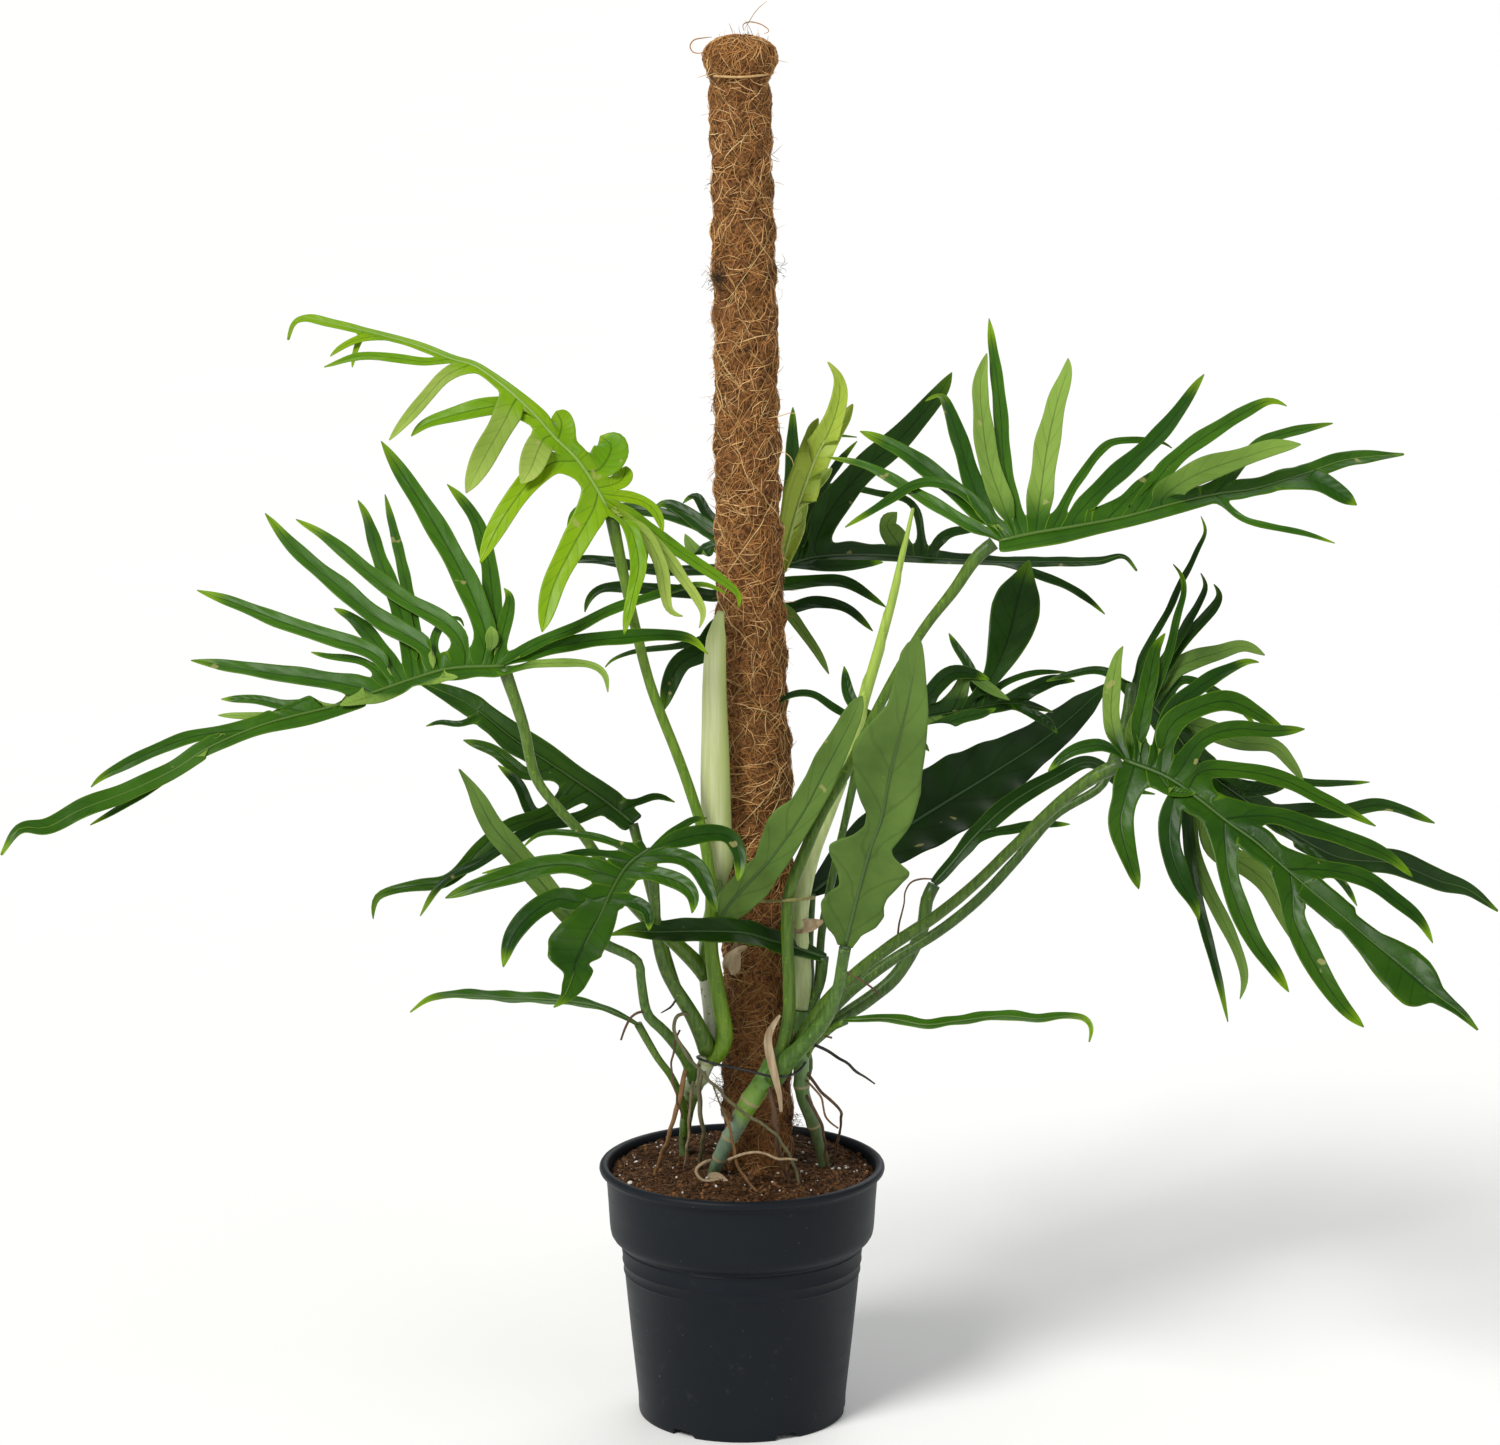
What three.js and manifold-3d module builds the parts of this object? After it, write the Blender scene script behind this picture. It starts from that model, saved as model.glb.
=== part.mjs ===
// Potted philodendron on a coir pole, in millimetres, +Z up.
// The origin is the centre of the pot's underside, +X is the viewer's right, -Y faces the viewer.
import * as THREE from 'three';
import Module from 'manifold-3d';

const wasm = await Module();
wasm.setup();

// Driving sizes of the pot and the soil
const POT = {
  rimRadius: 120,
  height: 217,
  collarRadius: 114,
  collarBottomRadius: 111,
  collarBottom: 160,
  shoulderRadius: 102.6,
  shoulder: 149,
  footRadius: 88,
  footTop: 15,
  underRadius: 84.5,
  lipDrop: 8,
  wall: 2.2,
  floor: 3,
  notchWidth: 22,
  notchHeight: 5.5,
  notches: 6,
  sides: 28,
};
const SOIL = { edge: 205, middle: 213, shoulderRadius: 60 };

// Driving sizes of the pole; the coir's radii run from its foot in the soil to its cap
const POLE = {
  stakeRadius: 9,
  sides: 12,
  steps: 24,
  coirRadii: [26, 27, 28, 30, 28, 30, 28, 29, 30, 28, 29.5, 28, 29, 27, 28, 26, 27, 25, 26, 25, 26,
    24.5, 24, 28, 25],
};

// Sides of a stem, of a leaf's stalk or root, and of the stake
const SIDES = { stem: 8, stalk: 5, stake: 8 };

// Clearance that touching pieces keep, and the thickness of a blade at its middle
const GAP = 0.3;
const BLADE = 2.2;

// How far a lobe's tip hangs back under its own weight, as a share of its length
const DROOP = 0.12;

// The view in which the plant's outline was read: a point is given by its place across and down
// that view, and by its depth, which is how far it lies behind the pot's centre line
const VIEW = {
  distance: 3500,
  height: 1250,
  side: 6.7,
  tilt: THREE.MathUtils.degToRad(10.64),
  focal: 4317,
  middleAcross: 750,
  middleDown: 722.5,
};
const MM_PER_STEP = 0.83;

function seen([across, down, depth]) {
  const right = (across - VIEW.middleAcross) / VIEW.focal;
  const up = (VIEW.middleDown - down) / VIEW.focal;
  const ahead = Math.cos(VIEW.tilt) + up * Math.sin(VIEW.tilt);
  const rise = up * Math.cos(VIEW.tilt) - Math.sin(VIEW.tilt);
  const reach = (depth + VIEW.distance) / ahead;
  return new THREE.Vector3(VIEW.side + right * reach, depth, VIEW.height + rise * reach);
}

function surface(points, faces) {
  const geometry = new THREE.BufferGeometry();
  const values = points.flatMap((point) => point.toArray());
  geometry.setAttribute('position', new THREE.Float32BufferAttribute(values, 3));
  geometry.setIndex(faces);
  return geometry;
}

// Closed surface through rings of equal point counts; a ring of one point is a pointed end
function loft(rings) {
  const points = [];
  const starts = rings.map((ring) => points.push(...ring) - ring.length);
  const faces = [];
  for (let row = 0; row + 1 < rings.length; row += 1) {
    const near = rings[row].length;
    const far = rings[row + 1].length;
    const count = Math.max(near, far);
    for (let side = 0; side < count; side += 1) {
      const next = (side + 1) % count;
      const a = starts[row] + (side % near);
      const b = starts[row] + (next % near);
      const c = starts[row + 1] + (next % far);
      const d = starts[row + 1] + (side % far);
      if (near > 1) faces.push(a, b, c);
      if (far > 1) faces.push(a, c, d);
    }
  }
  const last = rings.length - 1;
  for (let side = 1; side + 1 < rings[0].length; side += 1) {
    faces.push(starts[0], starts[0] + side + 1, starts[0] + side);
  }
  for (let side = 1; side + 1 < rings[last].length; side += 1) {
    faces.push(starts[last], starts[last] + side, starts[last] + side + 1);
  }
  return surface(points, faces);
}

// Solid for cutting and joining, made from a closed geometry with shared vertices
function solid(geometry) {
  const vertProperties = new Float32Array(geometry.attributes.position.array);
  const triVerts = new Uint32Array(geometry.index.array);
  const result = new wasm.Manifold(new wasm.Mesh({ numProp: 3, vertProperties, triVerts }));
  if (result.volume() > 0) return result;
  for (let face = 0; face < triVerts.length; face += 3) {
    [triVerts[face], triVerts[face + 1]] = [triVerts[face + 1], triVerts[face]];
  }
  return new wasm.Manifold(new wasm.Mesh({ numProp: 3, vertProperties, triVerts }));
}

// Value at a share of the way along a list of evenly spaced values
function along(values, share) {
  if (values.length === 1) return values[0];
  const place = share * (values.length - 1);
  const step = Math.min(Math.floor(place), values.length - 2);
  return values[step] + (values[step + 1] - values[step]) * (place - step);
}

// Place at a share of a curve's length, past its two ends by extra
function endPoint(curve, share, extra) {
  const outward = { 0: -extra, 1: extra }[share] ?? 0;
  return curve.getPointAt(share).addScaledVector(curve.getTangentAt(share), outward);
}

// Round stem, stalk or root: a circle swept along a smooth curve through the points
function tube(points, radii, sides, steps, extra) {
  const curve = new THREE.CatmullRomCurve3(points.map(seen), false, 'centripetal');
  const frames = curve.computeFrenetFrames(steps, false);
  const rings = [];
  for (let step = 0; step <= steps; step += 1) {
    const share = step / steps;
    const centre = endPoint(curve, share, extra);
    const radius = along(radii, share) + extra;
    const ring = [];
    for (let side = 0; side < sides; side += 1) {
      const angle = (side / sides) * Math.PI * 2;
      const out = frames.normals[step].clone().multiplyScalar(Math.cos(angle) * radius);
      out.addScaledVector(frames.binormals[step], Math.sin(angle) * radius);
      ring.push(out.add(centre));
    }
    rings.push(ring);
  }
  return solid(loft(rings));
}

// Thin strip with sharp margins and a keel below, facing the viewer and leaning back by lean; its
// steps are even along its length, or one for each place
function strip(places, widths, lean, steps, extra) {
  const curve = new THREE.CatmullRomCurve3(places, false, 'centripetal');
  const face = new THREE.Vector3(0, -1, lean).normalize();
  const rings = [];
  for (let step = 0; step <= steps; step += 1) {
    const share = step / steps;
    const even = steps !== places.length - 1;
    const centre = even ? curve.getPointAt(share) : curve.getPoint(share);
    const forward = even ? curve.getTangentAt(share) : curve.getTangent(share);
    const half = along(widths, share) / 2 + extra * 2;
    const side = new THREE.Vector3().crossVectors(forward, face).normalize();
    const up = new THREE.Vector3().crossVectors(side, forward);
    rings.push([
      centre.clone().addScaledVector(side, -half).addScaledVector(up, BLADE / 2 + extra),
      centre.clone().addScaledVector(up, -BLADE / 2 - extra),
      centre.clone().addScaledVector(side, half).addScaledVector(up, BLADE / 2 + extra),
    ]);
  }
  return solid(loft(rings));
}

// Place where a lobe leaves the midrib: the nearest one on its path, and not at its very start
function junction(path, [across, down]) {
  let best = null;
  for (let step = 0; step + 1 < path.length; step += 1) {
    const [x, y, z] = path[step];
    const run = [path[step + 1][0] - x, path[step + 1][1] - y, path[step + 1][2] - z];
    const length = run[0] ** 2 + run[1] ** 2;
    const least = step === 0 ? 0.3 : 0;
    const share = THREE.MathUtils.clamp(((across - x) * run[0] + (down - y) * run[1]) / length, least, 1);
    const place = [x + run[0] * share, y + run[1] * share, z + run[2] * share];
    const far = Math.hypot(across - place[0], down - place[1]);
    if (!best || far < best.far) best = { far, place };
  }
  return best.place;
}

// Places of a lobe: it leaves the midrib, leans back as it rises and hangs back towards its tip
function lobePlaces(path, lean, away, points) {
  const start = junction(path, points[0]);
  const flat = [start, ...points];
  const runs = [0];
  for (let step = 1; step < flat.length; step += 1) {
    const [from, to] = [flat[step - 1], flat[step]];
    runs.push(runs[step - 1] + Math.hypot(to[0] - from[0], to[1] - from[1]));
  }
  const length = runs[runs.length - 1];
  return flat.map(([across, down], step) => {
    const share = runs[step] / length;
    const rise = (start[1] - down) * MM_PER_STEP * lean;
    const hang = DROOP * length * MM_PER_STEP * share * share;
    return seen([across, down, start[2] + rise + hang + away * share]);
  });
}

// Where a stalk's end lies inside the blade: a little way along the midrib
function joint([first, second]) {
  return first.map((value, axis) => value + (second[axis] - value) * 0.3);
}

// One leaf: a stalk, a midrib strip and lobes, grown as one piece
function leafSolid({ lean, stalk, blade, lobes }, extra) {
  const pieces = [];
  if (stalk) {
    const path = blade ? [joint(blade.path), ...stalk.path] : stalk.path;
    pieces.push(tube(path, stalk.radii, SIDES.stalk, path.length - 1, extra));
  }
  if (blade) pieces.push(strip(blade.path.map(seen), blade.widths, lean, blade.path.length - 1, extra));
  for (const [width, away, ...points] of lobes ?? []) {
    const places = lobePlaces(blade.path, Math.min(lean, 0.9), away, points);
    const widths = [width * 0.5, width * 0.9, width, width * 0.8, width * 0.1];
    pieces.push(strip(places, widths, lean, points.length > 3 ? 3 : 2, extra));
  }
  return wasm.Manifold.union(pieces);
}

// Leaves, each with its stalk's path from blade to stem, its midrib's path from stalk to tip, and
// its lobes as rows of width, extra depth at the tip, and the places that the lobe passes
const LEAVES = {
  leaf_far_left: {
    colour: 0x3d7a2a,
    lean: 0.75,
    stalk: {
      radii: [3.2, 3.6, 4.2, 7.5],
      path: [[504, 668, -125], [513, 694, -124], [524, 728, -120], [536, 778, -112], [559, 809, -106],
        [582, 834, -100], [622, 892, -84], [650, 922, -64], [676, 944, -48], [697, 964, -40],
        [706, 975, -36]],
    },
    blade: {
      widths: [26, 30, 28, 24, 20, 18, 16, 3],
      path: [[504, 666, -125], [448, 669, -131], [410, 680, -138], [345, 703, -157], [262, 725, -182],
        [206, 749, -197], [179, 767, -205], [80, 810, -233], [45, 826, -245], [18, 832, -252],
        [1, 855, -260]],
    },
    lobes: [
      [19, 0, [488, 621], [432, 520], [381, 441]],
      [14, 20, [494, 614], [488, 559], [476, 520], [447, 484]],
      [10, 0, [501, 625], [506, 605], [504, 588]],
      [17, 0, [437, 660], [380, 620], [295, 549], [265, 513]],
      [15, 15, [481, 646], [405, 600], [327, 538], [296, 519]],
      [15, 0, [405, 669], [327, 637], [237, 604], [197, 590]],
      [16, 0, [380, 687], [322, 680], [226, 666], [191, 660]],
      [8, 20, [387, 671], [350, 659], [311, 652]],
      [14, 35, [413, 650], [388, 585], [366, 520], [358, 500]],
      [10, 40, [419, 645], [405, 585], [390, 515], [385, 494]],
      [13, 28, [398, 662], [370, 635], [345, 612], [334, 608]],
      [22, -10, [347, 694], [305, 708], [262, 722]],
      [10, 0, [300, 710], [260, 700], [221, 699]],
      [11, -10, [242, 726], [168, 745], [99, 779], [91, 787]],
      [6, 10, [200, 756], [143, 794], [90, 825]],
      [14, -15, [392, 690], [365, 698], [340, 705]],
      [10, -20, [507, 664], [576, 628], [647, 598], [727, 593]],
      [14, 5, [510, 664], [581, 642], [665, 635], [708, 654]],
      [8, 0, [510, 664], [560, 663], [605, 674], [608, 692]],
    ],
  },
  leaf_upper_left: {
    colour: 0x6fae2e,
    lean: 0.6,
    stalk: {
      radii: [4.2, 4.2, 4.4, 6.8, 6.8],
      path: [[611, 517, -85], [620, 558, -82], [636, 630, -76], [651, 687, -70], [684, 773, -60],
        [703, 834, -56], [711, 890, -54], [711, 945, -53], [715, 977, -53], [722, 1015, -53],
        [725, 1034, -51], [721, 1050, -47], [712, 1060, -42]],
    },
    blade: {
      widths: [30, 36, 34, 28, 20, 12, 10, 3],
      path: [[608, 509, -85], [576, 458, -76], [537, 417, -64], [493, 378, -46], [454, 360, -30],
        [418, 346, -14], [376, 334, 4], [326, 322, 26], [298, 321, 38], [288, 340, 42]],
    },
    lobes: [
      [8, -5, [381, 340], [358, 339], [340, 348], [330, 356]],
      [6, -8, [356, 336], [355, 352], [352, 367]],
      [9, -8, [450, 362], [427, 362], [360, 356], [324, 367]],
      [13, -8, [466, 367], [429, 394], [413, 412], [389, 440]],
      [18, -5, [542, 424], [509, 406], [447, 417], [411, 436]],
      [22, -5, [510, 401], [500, 429], [482, 461], [466, 493]],
      [22, -10, [544, 426], [539, 447], [530, 470], [521, 484]],
      [21, -8, [576, 461], [537, 474], [500, 523], [480, 563]],
      [22, -8, [601, 497], [588, 520], [553, 587], [542, 632]],
      [14, -15, [615, 521], [635, 541], [633, 594], [624, 634]],
      [18, 10, [560, 440], [562, 424], [556, 411]],
      [34, 5, [596, 490], [606, 462], [600, 438]],
      [12, 5, [612, 505], [640, 500], [661, 523], [663, 532]],
      [11, 55, [612, 512], [665, 541], [719, 578], [738, 608]],
      [10, 40, [614, 514], [665, 553], [694, 594], [699, 628]],
      [12, 20, [614, 516], [661, 566], [670, 612], [683, 616]],
    ],
  },
  leaf_front_left: {
    colour: 0x2f6426,
    lean: 0.7,
    stalk: {
      radii: [4, 4.4, 6, 8],
      path: [[648, 851, -120], [652, 870, -114], [655, 900, -104], [657, 938, -88], [667, 973, -74],
        [692, 1015, -58], [702, 1035, -50], [708, 1050, -43]],
    },
    blade: {
      widths: [26, 32, 30, 34, 48, 34, 4],
      path: [[648, 850, -120], [628, 865, -143], [613, 888, -169], [600, 916, -200], [587, 941, -226],
        [577, 964, -249], [565, 995, -276], [554, 1007, -287]],
    },
    lobes: [
      [19, -10, [605, 890], [559, 898], [513, 936], [503, 967]],
      [17, 0, [605, 878], [539, 867], [470, 888], [445, 898]],
      [7, -15, [615, 860], [564, 857], [482, 873]],
      [7, -10, [628, 850], [585, 836], [539, 834], [523, 847]],
      [6, 10, [648, 849], [677, 830], [694, 819], [707, 818]],
      [16, 0, [648, 850], [707, 834], [740, 856], [738, 881]],
      [14, -10, [646, 855], [679, 857], [709, 890], [717, 912]],
      [14, -15, [630, 870], [658, 875], [694, 898], [692, 913]],
      [12, -10, [608, 903], [635, 903], [648, 911], [649, 930]],
      [24, 0, [590, 935], [606, 955], [611, 975]],
      [24, 0, [585, 945], [562, 950], [547, 965]],
    ],
  },
  leaf_strap_left: {
    colour: 0x5f8a45,
    lean: 0.5,
    stalk: {
      radii: [3.8, 4.4, 5.5],
      path: [[605, 944, -104], [638, 962, -90], [641, 980, -84], [648, 1015, -70], [663, 1030, -62],
        [676, 1045, -54], [686, 1059, -44], [694, 1080, -30]],
    },
    blade: {
      widths: [10, 17, 18, 18, 15, 3],
      path: [[606, 945, -104], [574, 921, -104], [554, 898, -104], [533, 873, -103], [513, 850, -102],
        [493, 827, -100], [472, 788, -97], [459, 769, -95]],
    },
  },
  leaf_low_left: {
    colour: 0x3f7a2a,
    lean: 3,
    stalk: {
      radii: [3, 3.2, 4],
      path: [[638, 1024, -64], [657, 1057, -56], [671, 1076, -46], [682, 1101, -28], [687, 1120, -4],
        [686, 1136, 22]],
    },
    blade: {
      widths: [6, 15, 16, 14, 3],
      path: [[640, 1026, -64], [619, 1015, -70], [590, 1005, -80], [549, 1000, -93], [503, 998, -109],
        [462, 995, -122], [429, 999, -134], [410, 1012, -144]],
    },
  },
  leaf_shaded_left: {
    colour: 0x1f4a22,
    lean: 0.6,
    stalk: {
      radii: [3.4, 3.6, 4.5],
      path: [[633, 824, 10], [645, 870, 6], [660, 930, 0], [680, 995, -12], [700, 1035, -26],
        [709, 1050, -36]],
    },
    blade: {
      widths: [22, 28, 26, 22, 16, 3],
      path: [[633, 823, 10], [605, 801, 33], [560, 770, 71], [515, 740, 109], [470, 705, 147],
        [414, 679, 189]],
    },
    lobes: [
      [6, 10, [462, 712], [439, 718], [426, 726]],
      [13, 0, [544, 800], [526, 778], [493, 750], [463, 740]],
      [13, 0, [560, 800], [533, 814], [518, 783], [498, 765]],
      [7, 0, [625, 814], [641, 801], [658, 796], [675, 802]],
      [14, 0, [560, 805], [482, 847], [421, 885], [373, 919]],
      [12, 0, [580, 812], [503, 847], [452, 875], [420, 916]],
    ],
  },
  leaf_behind_pole: {
    colour: 0x2a5a26,
    lean: 0.75,
    stalk: {
      radii: [3.4, 3.6, 4.5],
      path: [[745, 600, 62], [742, 660, 56], [740, 760, 50], [738, 880, 46], [734, 980, 42],
        [722, 1035, 22], [711, 1052, -8], [708, 1060, -28]],
    },
    blade: {
      widths: [22, 26, 24, 16, 4],
      path: [[745, 601, 62], [742, 560, 101], [738, 530, 140], [734, 505, 176]],
    },
    lobes: [
      [10, 0, [725, 540], [711, 519], [694, 494], [683, 503]],
      [15, 0, [725, 550], [700, 525], [679, 509], [654, 507]],
      [12, 25, [725, 545], [640, 510], [574, 510], [567, 532]],
      [11, 10, [725, 572], [647, 569], [586, 559], [553, 563]],
      [13, 0, [730, 597], [647, 589], [599, 589], [585, 612]],
      [8, -5, [735, 600], [700, 640], [632, 652], [605, 667]],
      [22, -10, [740, 600], [703, 652], [675, 680], [664, 710]],
      [13, 30, [760, 580], [817, 581], [848, 583], [886, 607]],
      [12, 30, [765, 600], [817, 602], [848, 609], [873, 631]],
      [11, 20, [765, 602], [803, 632], [819, 655], [829, 674]],
    ],
  },
  leaf_behind_right: {
    colour: 0x24502a,
    lean: 0.7,
    stalk: {
      radii: [3.4, 3.6, 4.5],
      path: [[779, 567, 50], [774, 600, 54], [770, 700, 54], [772, 850, 54], [780, 960, 52],
        [800, 1035, 30], [808, 1064, -4], [804, 1080, -18]],
    },
    blade: {
      widths: [24, 24, 22, 18, 14, 10, 3],
      path: [[779, 567, 50], [817, 557, 70], [864, 555, 98], [912, 557, 128], [959, 560, 158],
        [1006, 562, 188], [1053, 562, 218], [1100, 561, 248], [1124, 556, 258], [1137, 571, 262]],
    },
    lobes: [
      [24, 0, [808, 550], [864, 470], [923, 413], [952, 372]],
      [14, 0, [795, 550], [792, 500], [792, 455], [793, 407]],
      [10, 0, [806, 545], [824, 484], [848, 451], [857, 441]],
      [20, -20, [905, 545], [885, 536], [897, 515]],
      [7, -15, [912, 545], [876, 493], [812, 489], [796, 512]],
      [10, 0, [921, 550], [947, 534], [978, 529]],
      [9, 0, [1006, 564], [1041, 576], [1089, 600], [1105, 614]],
      [11, 0, [790, 575], [841, 567], [883, 562]],
    ],
  },
  leaf_unfurling: {
    colour: 0xa9c64a,
    lean: 0.4,
    stalk: {
      radii: [4.4, 3.4, 3.4, 4.4],
      path: [[780, 566, 36], [772, 600, 40], [757, 650, 42], [754, 760, 40], [756, 900, 40],
        [766, 980, 40], [791, 1035, 22], [799, 1050, -6], [800, 1062, -20]],
    },
    blade: {
      widths: [12, 26, 30, 26, 16, 3],
      path: [[780, 570, 36], [790, 535, 34], [800, 500, 32], [815, 460, 30], [832, 425, 30],
        [838, 394, 32], [828, 362, 34]],
    },
    lobes: [
      [9, -4, [825, 445], [842, 425], [848, 412], [853, 404]],
      [8, 6, [805, 485], [824, 450], [838, 430]],
    ],
  },
  spike_rolled: {
    colour: 0xb8d25a,
    stalk: {
      radii: [1.4, 3.4, 4.6, 5.2, 6.2, 7.4, 7],
      path: [[913, 508, -28], [904, 548, -28], [888, 616, -28], [869, 682, -29], [850, 750, -31],
        [829, 811, -32], [812, 857, -32], [800, 916, -32], [803, 975, -30], [802, 1008, -28]],
    },
  },
  leaf_upper_right: {
    colour: 0x2c6a24,
    lean: 0.85,
    stalk: {
      radii: [3.8, 4, 4.6, 5, 5.4],
      path: [[994, 545, -70], [977, 557, -70], [954, 590, -68], [923, 630, -66], [885, 695, -62],
        [850, 765, -60], [821, 815, -58], [801, 861, -56], [790, 890, -55], [787, 920, -54],
        [789, 1010, -53], [783, 1044, -50], [776, 1062, -46]],
    },
    blade: {
      widths: [30, 34, 28, 24, 20, 16, 14, 3],
      path: [[999, 541, -70], [1030, 534, -66], [1077, 526, -55], [1124, 517, -40], [1161, 507, -24],
        [1222, 493, 6], [1284, 480, 36], [1345, 460, 74], [1404, 454, 109]],
    },
    lobes: [
      [12, 0, [993, 538], [935, 505], [864, 465], [828, 457]],
      [16, 10, [993, 530], [963, 498], [902, 451], [860, 431]],
      [11, -10, [985, 522], [912, 486], [888, 501], [845, 527]],
      [17, 0, [994, 530], [973, 484], [949, 411], [925, 401]],
      [20, -6, [998, 530], [989, 465], [980, 383], [987, 353]],
      [13, 14, [1006, 525], [1004, 465], [996, 371], [989, 318]],
      [22, 0, [1037, 526], [1041, 489], [1058, 399], [1068, 358]],
      [8, 10, [1055, 520], [1084, 472], [1112, 442], [1172, 448]],
      [18, 0, [1060, 522], [1131, 462], [1182, 407], [1204, 374]],
      [15, 6, [1135, 500], [1186, 450], [1243, 413], [1287, 406]],
      [22, -8, [1151, 511], [1202, 472], [1273, 448], [1301, 444]],
      [12, 8, [1100, 512], [1137, 490], [1175, 476]],
      [11, 20, [1215, 485], [1263, 442], [1304, 429], [1333, 423]],
      [6, -6, [1214, 505], [1243, 519], [1304, 533], [1335, 543]],
      [20, -4, [1290, 480], [1318, 484], [1357, 505]],
    ],
  },
  leaf_front_entire: {
    colour: 0x5a8a4c,
    lean: 0.3,
    stalk: {
      radii: [4.4, 5.4, 7, 10],
      path: [[845, 948, -110], [838, 987, -94], [828, 1015, -80], [806, 1042, -66], [786, 1062, -54],
        [772, 1078, -47]],
    },
    blade: {
      widths: [14, 40, 44, 54, 50, 34, 4],
      path: [[845, 946, -110], [858, 894, -130], [870, 850, -148], [881, 820, -158], [889, 780, -172],
        [900, 735, -190], [918, 637, -222]],
    },
    lobes: [
      [18, 0, [872, 850], [900, 846], [914, 848]],
      [18, 0, [872, 838], [845, 838], [828, 849]],
      [18, 0, [858, 890], [832, 890], [816, 901]],
      [20, 0, [892, 765], [868, 754], [846, 744]],
    ],
  },
  leaf_strap_middle: {
    colour: 0x4f8038,
    lean: 0.4,
    stalk: { radii: [5, 5.5], path: [[714, 926, -52], [707, 945, -42], [706, 968, -37]] },
    blade: {
      widths: [10, 28, 32, 30, 28, 20, 4],
      path: [[714, 928, -52], [733, 900, -60], [768, 862, -66], [800, 818, -74], [825, 770, -80],
        [846, 730, -84], [862, 696, -88]],
    },
  },
  leaf_across_front: {
    colour: 0x234f22,
    lean: 0.9,
    stalk: {
      radii: [3.6, 4.6, 5],
      path: [[824, 957, -34], [820, 985, -30], [806, 1012, -28], [801, 1030, -27]],
    },
    blade: {
      widths: [8, 22, 26, 24, 22, 18, 4],
      path: [[826, 958, -34], [791, 946, -40], [768, 940, -48], [745, 933, -66], [705, 931, -84],
        [657, 932, -102], [629, 931, -114], [609, 935, -120]],
    },
  },
  leaf_dark_right: {
    colour: 0x1c4420,
    lean: 0.6,
    stalk: {
      radii: [3.6, 4, 5],
      path: [[811, 893, 30], [809, 940, 20], [810, 990, 4], [806, 1034, -14], [803, 1054, -22]],
    },
    blade: {
      widths: [10, 50, 64, 62, 50, 30, 4],
      path: [[811, 893, 30], [870, 850, 67], [930, 812, 108], [990, 775, 150], [1050, 735, 193],
        [1110, 682, 242]],
    },
  },
  leaf_middle_right: {
    colour: 0x2a5f28,
    lean: 0.6,
    stalk: {
      radii: [3.2, 3.4, 4],
      path: [[865, 726, 2], [852, 790, 0], [834, 870, 0], [822, 930, -4], [818, 985, -10],
        [810, 1022, -18], [804, 1044, -24]],
    },
    blade: {
      widths: [20, 26, 26, 22, 14, 3],
      path: [[865, 725, 2], [900, 722, 14], [936, 716, 28], [975, 708, 46], [1010, 703, 62],
        [1040, 708, 76], [1053, 712, 82]],
    },
    lobes: [
      [42, 0, [965, 700], [993, 672], [1012, 630], [1029, 560]],
      [9, 0, [975, 700], [970, 668], [957, 648], [949, 633]],
      [16, 0, [915, 716], [936, 687], [952, 673], [990, 680]],
      [10, -10, [955, 705], [968, 685], [987, 687], [1010, 700]],
      [6, 0, [975, 705], [998, 687], [1033, 673], [1067, 672]],
      [12, -8, [1005, 703], [1033, 689], [1055, 680], [1075, 681]],
      [8, -5, [1020, 708], [1033, 714], [1057, 733]],
      [10, 0, [866, 722], [852, 694], [844, 666]],
      [6, -45, [866, 724], [831, 706], [798, 693], [760, 718]],
    ],
  },
  leaf_far_right: {
    colour: 0x327a1e,
    lean: 0.6,
    stalk: {
      radii: [4, 4.4, 5, 5.4],
      path: [[1122, 763, -112], [1094, 777, -108], [1060, 802, -102], [1010, 850, -92], [975, 884, -85],
        [936, 916, -76], [892, 945, -67], [847, 981, -58], [825, 1003, -53], [806, 1030, -46],
        [790, 1054, -42]],
    },
    blade: {
      widths: [32, 36, 36, 36, 40, 46, 46, 30, 3],
      path: [[1124, 760, -112], [1167, 777, -125], [1200, 800, -138], [1256, 842, -160],
        [1313, 892, -186], [1363, 934, -208], [1397, 962, -224], [1430, 990, -240], [1461, 1013, -254],
        [1478, 1030, -262]],
    },
    lobes: [
      [15, 0, [1122, 748], [1111, 717], [1113, 682], [1123, 646]],
      [9, 7, [1127, 750], [1131, 732], [1145, 692]],
      [16, 0, [1132, 751], [1140, 725], [1156, 648], [1165, 633]],
      [8, 12, [1142, 758], [1168, 656], [1184, 593], [1173, 564]],
      [16, 0, [1148, 755], [1175, 708], [1227, 670], [1259, 662]],
      [19, -5, [1150, 765], [1200, 707], [1256, 713], [1288, 735]],
      [15, -5, [1175, 770], [1234, 729], [1273, 731], [1305, 729]],
      [12, 0, [1123, 757], [1109, 746], [1068, 753], [1048, 771]],
      [9, -10, [1154, 781], [1172, 790], [1196, 793]],
      [21, 0, [1136, 768], [1124, 802], [1127, 853], [1139, 889]],
      [15, 0, [1164, 777], [1242, 771], [1318, 797], [1376, 826]],
      [16, 0, [1225, 816], [1313, 828], [1391, 858], [1413, 877]],
      [15, 0, [1290, 870], [1363, 878], [1422, 923], [1433, 943]],
      [20, 0, [1290, 878], [1293, 915], [1327, 985], [1364, 1027]],
      [18, 0, [1226, 824], [1228, 873], [1256, 945], [1289, 992]],
      [20, 0, [1172, 788], [1169, 839], [1195, 906], [1199, 920]],
    ],
  },
  leaf_back_right: {
    colour: 0x275a24,
    lean: 0.7,
    stalk: {
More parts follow.
